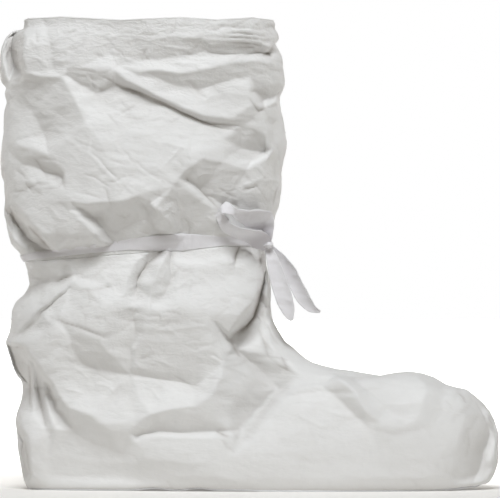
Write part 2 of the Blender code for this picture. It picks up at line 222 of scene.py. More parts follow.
NEAR_FOLDS = (
    FoldLine("collar_corner", 0.0, ((27, 472, 5), (26, 440, 6.5), (27, 414, 5))),
    FoldLine("ear_edge", 0.0, ((24, 468, 2), (23, 440, 1.5), (24, 412, 2))),
    FoldLine("ear_face", 0.05, ((15, 454, -9), (14, 436, -11), (15, 420, -11), (8, 406, -3))),
    FoldLine("collar_line", 0.3, ((45, 472, 2), (90, 470, 1), (140, 472, 2.5), (200, 470, 1.5),
        (250, 472, 2))),
    FoldLine("hem_ridge", 0.1, ((130, 449, 1), (165, 450, 2.1), (200, 450, 2.4), (222, 450, 2.7),
        (246, 452, 2.7))),
    FoldLine("hem_trough", 0.1, ((112, 434, 0.6), (145, 430, -0.3), (165, 431, -0.6), (188, 434, -0.6),
        (205, 437, -1), (226, 435, -2), (250, 434, -2.5))),
    FoldLine("notch_lip", 0.0, ((259, 447, 3), (268, 444, 3.5), (278, 441, 1))),
    FoldLine("notch", 0.0, ((262, 437, -2), (270, 436, -3), (279, 434, -1))),
    FoldLine("band_ridge", 0.0, ((120, 421, 1.1), (142, 417, 2), (162, 418, 2.5), (186, 416, 2.5),
        (204, 420, 2.8), (220, 424, 2.8), (249, 427, 2.5), (272, 426, 1.7))),
    FoldLine("band_trough", 0.1, ((138, 411, 1.3), (158, 409, 0), (174, 404, -0.6), (200, 401, -1),
        (215, 405, -0.6), (232, 411, 0), (250, 414, 0), (272, 416, 0))),
    FoldLine("overhang_lip", 0.0, ((56, 421, 1.2), (68, 421, 1.8), (80, 420, 2.7), (96, 419, 3.4),
        (116, 414.5, 3.4), (130, 407, 3.3), (151, 398.5, 3), (167, 390, 2.2), (186, 382, 2.7), (203, 377, 3),
        (229, 370, 2.2), (250, 368, 1.2))),
    FoldLine("overhang_foot", 0.0, ((68, 414, 1), (80, 404, 0.6), (98, 397, 0.1), (118, 403.5, -0.5),
        (134, 400, -0.9), (151, 392, -1), (166, 386, -0.6), (184, 378.5, -1), (203, 371, -1.2),
        (222, 365, -1), (238, 361, -0.2), (252, 359, 0.4))),
    FoldLine("bright_left", 0.1, ((64, 412, 2.6), (69, 401, 3.5), (78, 386, 4.5), (88, 364, 5.3),
        (100, 346, 5.8), (116, 326, 5.8), (131, 310, 5.8))),
    FoldLine("left_low", 0.3, ((24, 405, 2), (32, 380, -1.2), (44, 358, -3.2))),
    FoldLine("bright_middle", 0.6, ((132, 366, 2), (160, 350, 3.5), (185, 342, 4.5))),
    FoldLine("dent_lip", 0.1, ((6, 349, 0.5), (15, 347, 1), (34, 341, 1.8), (52, 330, 3), (65, 317, 3.6))),
    FoldLine("dent_foot", 0.05, ((9, 342, -0.8), (17, 333, -1.5), (25, 324, -1.9), (45, 318, -1.8),
        (63, 312, 0.8))),
    FoldLine("dent_lit", 0.3, ((10, 311, 0), (38, 304, 2), (66, 299, 5), (92, 299, 6))),
    FoldLine("diamond_top", 0.0, ((182, 318, 5.5), (193, 325, 6), (205, 331, 6), (222, 327, 4),
        (246, 318, 2))),
    FoldLine("diamond_edge", 0.0, ((185, 312, 1.5), (201, 301, -1), (223, 285, -2))),
    FoldLine("diamond_strip", 0.05, ((176, 311, 5.5), (193, 297, 3.5), (215, 279, 1))),
    FoldLine("right_shade", 0.2, ((224, 349, 0.5), (240, 341, -3.8), (262, 337, -6))),
    FoldLine("front_fold", 0.0, ((268, 352, 1.5), (268, 330, 2), (264, 308, 2), (256, 287, 1))),
    FoldLine("front_fold_trough", 0.0, ((273, 350, -1), (276, 328, -1), (274, 302, -1), (265, 286, -1))),
    FoldLine("pocket_lip", 0.0, ((250, 392, 3), (254, 384, 4), (263, 379, 3.5), (278, 390, 1))),
    FoldLine("pocket", 0.0, ((254, 396, -1.5), (262, 386, -3), (280, 396, -1))),
    FoldLine("pouch_lip", 0.0, ((58, 289, 5), (70, 290, 6.5), (87, 287, 8), (116, 290, 8), (136, 297, 8),
        (157, 303, 7.5), (170, 303, 6.5))),
    FoldLine("pouch_band", 0.0, ((13, 290, 0), (18, 285, 1), (27, 273, 3), (43, 254, 4.5), (54, 241, 2))),
    FoldLine("pouch_back", 0.0, ((7, 281, -3), (12, 271, -6), (22, 259, -8), (34, 247, -6.5),
        (47, 239, -4))),
    FoldLine("pouch_tip", 0.1, ((9, 261, 0), (14, 250, 1), (22, 240, 0))),
    FoldLine("pouch_mid", 0.2, ((40, 280, 3), (56, 265, 4.5), (72, 253, 4.5), (80, 249, 3))),
    FoldLine("pouch_right", 0.0, ((62, 286, 5), (70, 279, 5.5), (80, 271, 5.5), (95, 257, 4),
        (104, 248, 1))),
    FoldLine("pouch_deep", 0.1, ((84, 282, 4), (97, 269, 0), (108, 257, -3.5), (115, 249, -4))),
    FoldLine("pouch_lump_left", 0.0, ((146, 286, 4), (151, 273, 1), (160, 260, -2.5))),
    FoldLine("pouch_lump", 0.0, ((153, 289, 6.5), (158, 282, 7.5), (164, 275, 6.5), (170, 267, 3),
        (173, 257, -1.5))),
    FoldLine("pouch_fold", 0.0, ((180, 291, 2.5), (183, 276, 0), (184, 262, -3))),
    FoldLine("tie_line", 0.3, ((30, 236, -1.5), (61, 238, -2.5), (92, 242, -3), (130, 246, -3),
        (176, 249, -3), (215, 249, -3), (245, 249, -2.5))),
    FoldLine("gather_trough", 0.0, ((164, 240, -4), (148, 223, -3), (138, 206, -3), (135, 194, -2),
        (136, 177, 0.5))),
    FoldLine("gather_left", 0.2, ((150, 239, -3), (137, 224, 0), (128, 208, 1), (124, 194, 1.5))),
    FoldLine("gather_ridge", 0.0, ((167, 237, -1.5), (160, 222, 2.5), (153, 205, 3), (147, 190, 2))),
    FoldLine("gather_side", 0.0, ((171, 239, -4), (171, 222, -1.5), (170, 206, -0.5), (163, 194, 0.5),
        (151, 185, 1.5))),
    FoldLine("gather_right", 0.1, ((180, 238, -3), (178, 222, 0.5), (176, 204, 2))),
    FoldLine("front_pinch", 0.0, ((237, 240, -2), (235, 230, -1), (234, 219, 0))),
    FoldLine("pinch_left", 0.1, ((230, 239, -1.2), (227, 228, 0.5), (225, 214, 1.2))),
    FoldLine("front_gather", 0.0, ((244, 239, -1), (249, 229, 1), (255, 219, 1.2))),
    FoldLine("front_gather_trough", 0.0, ((252, 240, -1.5), (258, 230, -1), (262, 222, -1))),
    FoldLine("shin_left", 0.2, ((262, 215, 0), (257, 199, 4.5), (250, 186, 7), (240, 172, 7.5),
        (229, 158, 5))),
    FoldLine("shin_crease", 0.0, ((266, 219, -3), (264, 209, -5.5), (259.5, 191.5, -7.5), (254, 172, -8.5),
        (246, 163, -8), (238, 158, -6), (230, 153, -2))),
    FoldLine("crease_lip", 0.1, ((265, 180, -3), (259, 164, -6), (250, 154, -6.6), (241, 147, -6),
        (236, 140, -4.4))),
    FoldLine("instep_edge", 0.1, ((268, 214, 0.5), (267, 196, 0), (266, 178, -1.5), (272, 150, -0.8),
        (284, 134, -0.8), (296, 124, -0.8))),
    FoldLine("heel_pleat_top", 0.1, ((28, 221, 1), (48, 224, 1.5), (68, 227, -1))),
    FoldLine("heel_pleat", 0.0, ((30, 200, -3), (44, 206, -4), (58, 210, -4), (73, 215, -1.5))),
    FoldLine("heel_strap", 0.0, ((72, 209, 1), (56, 198, 2.5), (36, 178, 2.5), (21, 160, 1.5))),
    FoldLine("heel_strap_foot", 0.0, ((68, 203, 0), (51, 188, -0.5), (32, 166, -1), (17, 150, -0.5))),
    FoldLine("valley_lip", 0.0, ((45, 176, 2), (60, 169, 3.2), (78, 160, 3.6), (99, 151, 3))),
    FoldLine("valley_lip_front", 0.9, ((112, 182, 5), (150, 180, 6), (178, 180, 6.5), (204, 174, 6.5))),
    FoldLine("valley", 0.0, ((55, 164, 4.5), (70, 149, 1.5), (84, 128, -2.2), (96, 121, -3), (130, 117, -3),
        (162, 110, -3.8), (196, 106, -3), (209, 107, 0.8))),
    FoldLine("heel_tip", 0.05, ((7, 146, 0), (18, 145, 3), (26, 142, 4.8), (31, 133, 4.8), (38, 126, 4.8),
        (46, 115, 4.8), (62, 92, 4.8), (72, 84, 4.2), (94, 78, 3.6), (102, 69, 3), (112, 60, 2.4),
        (129, 58, 1.8), (136, 64, 2.4), (150, 77, 3), (170, 82, 3), (195, 85, 3), (212, 95, 3.6),
        (219, 112, 3.6), (225, 125, 2.6), (229, 135, 1), (230, 145, 0))),
    FoldLine("heel_under", 0.2, ((49, 103, -2.4), (59, 80, -3), (74, 62, -2.6), (98, 46, -2.4),
        (124, 36, -2))),
    FoldLine("heel_soft", 0.9, ((50, 30, -2.4), (92, 22, -3), (125, 20, -2.2), (150, 18, 0))),
    FoldLine("heel_notch", 0.0, ((31, 128, 2.5), (31, 118, 2), (28, 106, -1))),
    FoldLine("heel_dark", 0.0, ((11, 138, -6), (15, 126, -7), (22, 111, -4))),
    FoldLine("heel_pleats", 0.0, ((34, 122, 1.5), (35, 104, 1.5), (33, 76, 0.5))),
    FoldLine("heel_pleat_dip", 0.0, ((37, 106, -2), (42, 84, -2.5), (48, 63, -1))),
    FoldLine("heel_pleat_front", 0.0, ((42, 112, 1.5), (48, 90, 0.5), (57, 63, 0))),
    FoldLine("heel_face", 0.1, ((24, 74, 2), (27, 56, 2.5), (29, 40, 3), (34, 16, 3))),
    FoldLine("heel_strip", 0.1, ((19, 60, -2), (22, 40, -4), (27, 14, -4))),
    FoldLine("low_trough", 0.0, ((138, 53, -1.3), (160, 58, -2), (190, 59, -2), (229, 58, -2.6))),
    FoldLine("low_lip", 0.0, ((137, 47, 0.5), (160, 54, 1), (190, 55, 1), (228, 53, 0.5))),
    FoldLine("low_ridge", 0.5, ((148, 34, 2), (195, 30, 2.5), (232, 36, 1.5))),
    FoldLine("hollow_right", 0.0, ((293, 113, -4.5), (276, 101, -12.5), (262, 82, -12.5), (246, 60, -8.5))),
    FoldLine("foot_edge", 0.0, ((304, 109, -1), (284, 94, -3.6), (270, 75, -3), (254, 54, -0.4))),
    FoldLine("vamp_ridge", 0.05, ((312, 121, 1), (326, 118, 3), (343, 106, 4.6), (354, 95, 5),
        (363, 84, 4.2), (378, 72, 2.8), (398, 62, 2))),
    FoldLine("vamp_left", 0.1, ((314, 110, -1), (325, 102, -1.6), (339, 91, -1.6), (351, 80, -0.8),
        (366, 66, 0.8))),
    FoldLine("vamp_right", 0.3, ((352, 113, -1), (368, 100, -0.5), (382, 88, 0), (402, 76, 1))),
    FoldLine("brow_ridge", 0.1, ((411, 115, 0.5), (421, 108, 2), (427, 97, 2.5), (420, 84, 2.5),
        (411, 72, 2))),
    FoldLine("brow_right", 0.3, ((438, 108, 0), (445, 96, -0.5), (440, 80, 0), (428, 64, 1))),
    FoldLine("toe_fold", 0.3, ((452, 103, 0.6), (460, 92, 0.9), (466, 74, 1.2), (456, 48, 1.5),
        (448, 28, 1.5), (446, 12, 0.8))),
    FoldLine("toe_panel", 0.1, ((487, 80, -3), (491, 64, -5.5), (487, 46, -6.5), (482, 32, -6.5),
        (474, 14, -4.5))),
    FoldLine("toe_edge", 0.1, ((498, 48, 0), (495, 34, 0), (488, 14, 0.5))),
    FoldLine("foot_flat", 0.8, ((286, 42, 2), (330, 38, 1.5), (380, 34, 2), (425, 32, 2))),
)
FAR_FOLDS = (
    FoldLine("collar_line", 0.3, ((60, 472, 1), (140, 470, 3), (220, 472, 2))),
    FoldLine("slouch_lip", 0.0, ((40, 390, 3), (70, 398, 5), (110, 410, 6.5), (150, 415, 6.5), (190, 412, 5),
        (232, 420, 3))),
    FoldLine("slouch_foot", 0.0, ((42, 384, -1), (72, 390, -3), (112, 401, -4), (152, 406, -4),
        (192, 404, -3), (234, 413, 0))),
    FoldLine("upper_trough", 0.4, ((60, 430, 0), (120, 438, -2), (200, 436, -2), (250, 440, 0))),
    FoldLine("cross_ridge", 0.1, ((250, 380, 3), (210, 362, 6), (170, 340, 7), (120, 330, 6),
        (60, 338, 3))),
    FoldLine("cross_trough", 0.3, ((262, 350, 0), (215, 335, -2), (170, 318, -3), (110, 308, -2),
        (50, 316, -1))),
    FoldLine("pouch_lip", 0.05, ((40, 280, 4), (72, 276, 6), (110, 288, 7), (150, 283, 7), (190, 292, 6.5),
        (228, 284, 5), (256, 290, 3))),
    FoldLine("pouch_pleat", 0.1, ((96, 282, 5), (104, 262, -2), (112, 248, -5))),
    FoldLine("tie_line", 0.3, ((32, 236, -1.5), (61, 238, -2.5), (92, 243, -3), (130, 246, -3),
        (176, 249, -3), (215, 249, -3), (245, 249, -2.5))),
    FoldLine("gather_ridge", 0.0, ((200, 238, -3), (208, 222, 2), (214, 196, 2))),
    FoldLine("gather_trough", 0.0, ((193, 238, -6), (198, 220, -3), (206, 194, -1))),
    FoldLine("back_gather", 0.0, ((84, 232, -4), (76, 214, 2), (62, 192, 3))),
    FoldLine("back_gather_trough", 0.0, ((93, 233, -6), (88, 212, -3), (80, 190, 0))),
    FoldLine("ankle_crease", 0.0, ((262, 190, -2), (246, 172, -6), (222, 160, -6), (196, 156, -2))),
    FoldLine("ankle_lip", 0.2, ((252, 196, 1), (232, 182, 2), (206, 172, 3))),
    FoldLine("heel_ridge", 0.05, ((8, 150, 1), (34, 136, 5), (60, 118, 7), (96, 100, 8), (140, 96, 7),
        (182, 108, 5), (214, 118, 4))),
    FoldLine("heel_valley", 0.2, ((30, 164, 0), (64, 150, -2), (110, 138, -3), (160, 134, -2),
        (206, 140, -1))),
    FoldLine("heel_under", 0.2, ((24, 104, -3), (56, 84, -3), (104, 66, -3), (160, 62, -3), (214, 74, -3))),
    FoldLine("low_ridge", 0.5, ((60, 36, 2), (120, 32, 3), (190, 30, 3), (250, 34, 2))),
    FoldLine("hollow", 0.05, ((240, 60, -4), (262, 88, -5), (286, 114, -3))),
    FoldLine("vamp_ridge", 0.15, ((300, 112, 2), (326, 90, 5), (362, 76, 6), (404, 78, 4), (434, 92, 2))),
    FoldLine("vamp_trough", 0.2, ((336, 106, -1), (366, 96, -2), (398, 98, -1))),
    FoldLine("foot_trough", 0.4, ((290, 56, -2), (330, 48, -2), (380, 52, -2), (430, 50, -1))),
    FoldLine("toe_fold", 0.2, ((452, 84, 3), (460, 60, 3), (452, 22, 2))),
    FoldLine("toe_trough", 0.2, ((466, 82, -1), (472, 58, -1), (464, 24, 0))),
)
NEAR_CREASES = (
    Crease(((98, 415), (125, 402), (151, 392), (171, 383), (188, 375), (204, 367), (220, 361), (238, 358)),
        -1.9, 1.2),
    Crease(((66, 419), (80, 419), (97, 417)), -1.3, 1.2),
    Crease(((266, 219), (264, 209), (259, 191), (254, 172), (246, 163), (232, 154)), -3.0, 1.3),
    Crease(((230, 152), (234, 141), (240, 132)), -1.6, 1.2),
    Crease(((30, 265), (40, 254), (53, 239)), -2.6, 2.0),
    Crease(((240, 244), (236, 235), (234, 223)), -2.6, 1.2),
    Crease(((263, 238), (260, 231), (259, 221)), -1.6, 1.1),
    Crease(((238, 243), (251, 243), (264, 237)), -1.6, 1.1),
    Crease(((268, 214), (266, 192), (262, 174)), 1.0, 1.2),
    Crease(((163, 239), (147, 225), (139, 213), (136, 198)), -1.9, 1.2),
    Crease(((56, 207), (64, 211), (73, 214)), -2.0, 1.3),
    Crease(((50, 173), (79, 164), (111, 152)), -1.8, 1.4),
    Crease(((84, 340), (96, 331), (104, 321), (123, 303)), 0.8, 1.5),
    Crease(((90, 339), (100, 331), (109, 320), (127, 304)), -0.8, 1.4),
    Crease(((124, 331), (136, 325), (144, 318), (163, 306)), 0.7, 1.5),
    Crease(((130, 330), (140, 325), (148, 317), (166, 306)), -0.7, 1.4),
    Crease(((231, 461), (246, 460), (262, 459)), -1.3, 1.1),
    Crease(((226, 458), (244, 458), (266, 456)), 0.9, 1.1),
    Crease(((222, 455), (240, 455), (268, 452)), -1.6, 1.1),
    Crease(((224, 453), (246, 453), (270, 449)), 0.9, 1.1),
    Crease(((221, 450), (244, 451), (270, 447)), -1.6, 1.1),
    Crease(((224, 448), (240, 448), (266, 445)), 0.9, 1.1),
    Crease(((226, 446), (248, 446), (268, 442)), -1.4, 1.1),
    Crease(((232, 441), (250, 442), (264, 439)), -1.1, 1.1),
    Crease(((262, 432), (268, 437), (275, 446)), -2.4, 1.4),
    Crease(((249, 390), (258, 378), (278, 385)), -1.8, 1.2),
    Crease(((196, 303), (206, 293), (218, 281)), -1.7, 1.1), Crease(((231, 288), (239, 282)), -1.1, 1.1),
    Crease(((243, 304), (252, 307), (263, 312)), 1.2, 1.5), Crease(((243, 299), (257, 303)), -1.5, 1.1),
    Crease(((272, 283), (275, 296), (279, 305)), -1.4, 1.1),
    Crease(((114, 440), (116, 430), (120, 424)), 0.8, 1.6),
    Crease(((120, 434), (130, 428), (141, 424)), 0.9, 1.8),
    Crease(((98, 256), (106, 252), (112, 254)), 0.7, 1.5),
    Crease(((50, 368), (62, 360), (72, 352)), 0.7, 2.0),
    Crease(((56, 362), (70, 350), (84, 338)), 0.7, 2.0),
    Crease(((203, 341), (206, 332), (210, 326)), 0.9, 1.5), Crease(((199, 346), (203, 334)), 0.8, 1.4),
    Crease(((77, 202), (96, 204), (112, 208)), 0.9, 1.4),
    Crease(((80, 198), (100, 200), (122, 206)), -1.0, 1.4),
    Crease(((118, 172), (150, 168), (190, 170)), -0.7, 2.0),
    Crease(((130, 164), (170, 160), (214, 166)), 0.7, 2.0),
    Crease(((8, 143), (16, 143), (25, 142)), -1.5, 1.1),
    Crease(((30, 130), (31, 110), (30, 82)), -1.7, 1.1), Crease(((38, 106), (42, 82), (47, 63)), -1.3, 1.2),
    Crease(((26, 52), (28, 35), (31, 15)), -1.3, 1.1), Crease(((216, 60), (224, 56), (230, 54)), -1.8, 1.4),
    Crease(((222, 52), (228, 44), (236, 38)), -0.9, 2.0),
    Crease(((270, 150), (274, 142), (279, 136)), 1.2, 1.6),
    Crease(((281, 134), (285, 126), (288, 118)), -1.4, 1.4),
    Crease(((262, 152), (266, 143), (268, 132)), -1.4, 1.3),
    Crease(((322, 82), (340, 76), (362, 76)), 0.7, 2.2),
    Crease(((298, 76), (318, 66), (330, 64)), 0.6, 2.2),
    Crease(((372, 62), (392, 58), (420, 62)), -0.7, 2.4),
    Crease(((380, 88), (400, 86), (424, 90)), 0.7, 2.4),
    Crease(((456, 97), (462, 93), (464, 86)), -1.3, 1.3),
    Crease(((459, 101), (467, 97), (470, 92)), 0.9, 1.3),
    Crease(((466, 64), (468, 48), (464, 32)), -0.7, 1.6),
    Crease(((10, 285), (13, 274), (20, 262)), -1.7, 3.2),
    Crease(((152, 286), (157, 280), (161, 273)), 2.2, 2.4),
    Crease(((167, 272), (171, 266), (175, 260)), 1.7, 1.9),
    Crease(((11, 455), (10, 438), (11, 418)), -0.9, 5.0),
    Crease(((263, 196), (265, 184), (268, 173)), -0.9, 1.4),
    Crease(((257, 178), (262, 166), (268, 155)), 1.0, 1.7),
    Crease(((267, 166), (272, 154), (280, 143)), -0.9, 1.4),
    Crease(((258, 162), (264, 149), (274, 137)), -0.9, 1.6),
    Crease(((276, 141), (286, 131), (299, 124)), 0.9, 1.7),
    Crease(((268, 133), (282, 122), (298, 114)), -0.7, 1.6),
    Crease(((263, 205), (259.5, 191), (254.5, 173), (247, 165), (239, 160)), -1.2, 2.0),
)
FAR_CREASES = (
    Crease(((60, 360), (90, 352), (130, 356)), 1.1, 2.2),
    Crease(((140, 380), (170, 372), (210, 384)), -0.9, 2.2),
    Crease(((80, 450), (120, 446), (170, 452)), 1.0, 2.0),
    Crease(((200, 306), (222, 300), (244, 310)), 1.1, 2.0),
    Crease(((120, 214), (150, 206), (176, 210)), -0.9, 2.0),
    Crease(((100, 180), (140, 170), (190, 176)), 0.9, 2.4),
    Crease(((60, 70), (90, 56), (130, 52)), 0.9, 2.2), Crease(((300, 70), (340, 62), (390, 66)), -0.8, 2.4),
    Crease(((240, 120), (256, 132), (268, 150)), 1.1, 2.0),
    Crease(((410, 60), (430, 54), (446, 44)), 0.8, 2.0),
)
NEAR_BAND = (
    BandPlace(18, 230, 6), BandPlace(35, 234, 6), BandPlace(61, 237, 7), BandPlace(92, 241, 8),
    BandPlace(129, 245, 11), BandPlace(155, 247, 15), BandPlace(180, 247.5, 18), BandPlace(205, 248, 13),
    BandPlace(228, 249, 9), BandPlace(270, 247, 10),
)
FAR_BAND = (
    BandPlace(18, 230, 6), BandPlace(45, 235, 12), BandPlace(110, 242, 17), BandPlace(190, 246, 18),
    BandPlace(240, 248, 12), BandPlace(270, 247, 10),
)
NEAR_LOOP = (
    TapeFold(272, 250, -27, 267, 244, -26), TapeFold(274.5, 267, -30, 266, 255, -26),
    TapeFold(272.5, 277, -34, 262, 260, -26), TapeFold(262, 279.5, -40, 255, 260.5, -30),
    TapeFold(247, 280, -46, 247, 262.5, -36), TapeFold(236, 280.5, -50, 239, 268, -42),
    TapeFold(231, 286, -48, 232, 274.5, -49), TapeFold(226, 289, -46, 225.5, 276.5, -52),
    TapeFold(220, 282.5, -46, 221.5, 275.5, -50), TapeFold(215.5, 273, -43, 224, 275, -46),
    TapeFold(219, 266, -42, 229, 270.5, -46), TapeFold(223, 257.5, -36, 229, 268, -47),
    TapeFold(233, 252.5, -32, 238, 262.5, -45), TapeFold(244, 249, -28, 249, 260.5, -42),
    TapeFold(254, 242, -25, 259, 259.5, -38), TapeFold(263, 239, -24, 267, 256, -33),
    TapeFold(268, 241, -25, 271, 251, -27),
)
FAR_LOOP = (
    TapePlace(269, -14, 249, 9, 0), TapePlace(270.5, -2, 256, 13, 0), TapePlace(267, 12, 262, 15, 0),
    TapePlace(259, 26, 267, 15, -6), TapePlace(254, 33, 266, 14, -8), TapePlace(255, 33, 258, 14, -6),
    TapePlace(262, 23, 252, 15, 0), TapePlace(268, 8, 249, 14, 0), TapePlace(269.5, -10, 245, 9, 0),
)
NEAR_TAIL = (
    TapePlace(268, -22.5, 242, 6, 0), TapePlace(272, -24.5, 231, 9, 4), TapePlace(276, -26, 217, 12, 8),
    TapePlace(280.5, -27, 202, 13, 6), TapePlace(285.5, -27, 187, 12.5, 0),
    TapePlace(289.5, -26, 175, 7.5, -4), TapePlace(291.5, -25.5, 169, 2, -4),
)
FAR_TAIL = (
    TapePlace(270, -19, 241, 6, 0), TapePlace(279, -19, 232, 9, 16), TapePlace(289, -18.5, 219, 12, 24),
    TapePlace(297, -18, 203, 12, 24), TapePlace(305, -17.5, 189, 11, 18), TapePlace(312, -16.5, 181, 7, 10),
    TapePlace(320, -15.5, 177.5, 2, 6),
)
CREASE_ZONES = (
    CreaseZone((30, 272), (425, 466), 60, 0.58, 8), CreaseZone((10, 280), (330, 425), 52, 0.42, -28),
    CreaseZone((8, 278), (252, 330), 64, 0.7, -20), CreaseZone((30, 262), (185, 238), 44, 0.55, 10),
    CreaseZone((20, 262), (100, 185), 52, 0.5, -12), CreaseZone((22, 250), (10, 100), 24, 0.3, 0),
    CreaseZone((262, 440), (12, 110), 30, 0.22, -8), CreaseZone((440, 492), (10, 96), 16, 0.45, 70),
)
PANELS = (
    LightPanel("key", (0.04, -1.76, 2.5), (0.0, 0.0, 0.16), (1.05, 1.05), 70.0),
    LightPanel("backdrop", (0.0, 3.15, 2.2), (0.0, 3.15, 0.0), (8.0, 5.4), 240.0, 34.0),
)
SOLE_WAVES = ((155, 16, 1.8), (199, 13, 2.0), (235, 24, 0.7))
COLLAR_LINE = (
    (0, -4), (25, -0.5), (29, 1.5), (62, 3.0), (122, -0.5), (182, 2.0), (218, -0.5), (254, 1.5), (272, -1),
)


def smooth_step(value: np.ndarray, start: float, end: float) -> np.ndarray:
    """Return 0 before start and 1 after end, with an even cubic rise between them.

    Args:
        value: Where to read the step.
        start: Value at which the rise begins.
        end: Value at which the rise is over.

    Returns:
        3 s squared minus 2 s cubed, with s the clipped share of the way from start to end.
    """
    share = np.clip((value - start) / (end - start), 0.0, 1.0)
    return share * share * (3.0 - 2.0 * share)


def blur(values: np.ndarray, radius: float, axes: Sequence[int] = (0, 1)) -> np.ndarray:
    """Return an array averaged with a bell curve along the given axes.

    Args:
        values: Array to average.
        radius: Standard deviation of the bell curve, in cells.
        axes: Axes to average along.

    Returns:
        The weighted mean of the neighbours, with weights exp(-offset squared / 2 radius squared).
    """
    reach = int(math.ceil(3 * radius))
    weights = np.exp(-0.5 * (np.arange(-reach, reach + 1) / radius) ** 2)
    weights /= weights.sum()
    for axis in axes:
        padding = [(0, 0)] * values.ndim
        padding[axis] = (reach, reach)
        wide = np.pad(values, padding, mode="edge")
        count = values.shape[axis]
        values = sum(w * np.take(wide, np.arange(i, i + count), axis=axis) for i, w in enumerate(weights))
    return values


def smooth_route(rows: np.ndarray, count: int) -> np.ndarray:
    """Return evenly spaced places on a smooth curve through rows of numbers.

    Args:
        rows: The rows that the curve passes through.
        count: Number of places to return.

    Returns:
        Cubic Hermite places between neighbouring rows, with each row's tangent taken from the rows beside it.
    """
    steps = np.linalg.norm(np.diff(rows[:, :3], axis=0), axis=1)
    run = np.concatenate([[0.0], np.cumsum(steps)])
    tangents = np.gradient(rows, run, axis=0)
    places = np.linspace(0.0, run[-1], count)
    at = np.clip(np.searchsorted(run, places, side="right") - 1, 0, len(run) - 2)
    span = (run[at + 1] - run[at])[:, None]
    s = (places - run[at])[:, None] / span
    return (rows[at] * (2 * s**3 - 3 * s**2 + 1) + tangents[at] * span * (s**3 - 2 * s**2 + s)
            + rows[at + 1] * (3 * s**2 - 2 * s**3) + tangents[at + 1] * span * (s**3 - s**2))


def unit(vectors: np.ndarray) -> np.ndarray:
    """Return vectors scaled to length one.

    Args:
        vectors: Array whose last axis holds the vectors.

    Returns:
        Each vector over its length, with very short ones left near zero.
    """
    return vectors / np.maximum(np.linalg.norm(vectors, axis=-1, keepdims=True), 1e-12)


def to_x(along: Union[float, np.ndarray]) -> Union[float, np.ndarray]:
    """Return X in metres of a place along the side view."""
    return CAD_LOW.x + along * STEP


def sole_lift(x: np.ndarray, y: np.ndarray) -> np.ndarray:
    """Return the height of the sole's underside above the floor: a spring at the toe and a wavy near edge."""
    along = (x - CAD_LOW.x) / STEP
    waves = sum(lift * np.exp(-(((along - middle) / half) ** 2)) for middle, half, lift in SOLE_WAVES)
    start, end, rise = TOE_SPRING
    return MM * (rise * smooth_step(along, start, end) + waves * smooth_step(-y, *WAVE_BLEND))


def grid_faces(rows: int, columns: int, flip: bool = False, closed: bool = False) -> np.ndarray:
    """Return the four-sided faces of a grid of points.

    Args:
        rows: Number of rows of points.
        columns: Number of points in a row.
        flip: Whether to turn the faces over.
        closed: Whether each row's end joins its start.

    Returns:
        Point numbers, four for each face.
    """
    across = columns if closed else columns - 1
    row, column = np.meshgrid(np.arange(rows - 1), np.arange(across), indexing="ij")
    after = (column + 1) % columns
    corners = [row * columns + column, row * columns + after, (row + 1) * columns + after,
               (row + 1) * columns + column]
    faces = np.stack([corner.ravel() for corner in corners], axis=1)
    return faces[:, ::-1] if flip else faces


def add_mesh(name: str, points: np.ndarray, faces: np.ndarray, caps: int = 0) -> bpy.types.Object:
    """Add a smooth-shaded mesh object to the scene.

    Args:
        name: Name of the piece.
        points: Points in metres, three numbers each.
        faces: Point numbers, four for each face.
        caps: Number of points in the first and last rows, where these are closed with a face each.

    Returns:
        The new object, at the origin.
    """
    mesh = bpy.data.meshes.new(name)
    rows = faces.tolist()
    if caps:
        count = points.size // 3
        rows += [list(range(caps))[::-1], list(range(count - caps, count))]
    mesh.from_pydata(points.reshape(-1, 3).tolist(), [], rows)
    mesh.shade_smooth()
    mesh.validate()
    piece = bpy.data.objects.new(name, mesh)
    bpy.context.scene.collection.objects.link(piece)
    return piece


def thicken(piece: bpy.types.Object, thickness: float, offset: float = -1.0) -> None:
    """Give a sheet its thickness, on its inner side unless offset says otherwise."""
    solid = piece.modifiers.new("thickness", "SOLIDIFY")
    solid.thickness = thickness
    solid.offset = offset
    solid.use_even_offset = False


def paint_attribute(piece: bpy.types.Object, name: str, values: np.ndarray) -> None:
    """Store one number for each point of a piece, for its finish to read."""
    attribute = piece.data.attributes.new(name, "FLOAT", "POINT")
    attribute.data.foreach_set("value", values.astype(np.float32).ravel())


def dress(piece: bpy.types.Object, finish: bpy.types.Material, node: str) -> bpy.types.Object:
    """Give a piece its finish, hang it under the root and hide the frame's node that it replaces.

    Args:
        piece: The piece.
        finish: Its material.
        node: Name of the frame's node that it replaces.

    Returns:
        The same piece.
    """
    piece.data.materials.append(finish)
    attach(piece, "root")
    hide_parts(node)
    return piece


class Outline:
    """One edge of the side view, read by level."""

    SAMPLES = 2400
    SOFTNESS = 4.0

    def __init__(self, edges: Sequence[Edge]) -> None:
        """Work out the levels of an edge's places from the stations that are named on it."""
        places = np.array([(edge.along, edge.up) for edge in edges], dtype=float)
        run = np.concatenate([[0.0], np.cumsum(np.linalg.norm(np.diff(places, axis=0), axis=1))])
        named = [i for i, edge in enumerate(edges) if edge.station]
        levels = np.interp(run, run[named], [STATIONS.index(edges[i].station) for i in named])
        self.levels = np.linspace(0.0, len(STATIONS) - 1, self.SAMPLES)
        dense = np.stack([np.interp(self.levels, levels, places[:, k]) for k in (0, 1)], axis=1)
        self.places = blur(dense, self.SOFTNESS, axes=(0,))
        self.places[[0, -1]] = dense[[0, -1]]

    def at(self, level: np.ndarray) -> tuple[np.ndarray, np.ndarray]:
        """Return the along and up of the edge at each level."""
        along, up = (np.interp(level, self.levels, self.places[:, k]) for k in (0, 1))
        return along, up


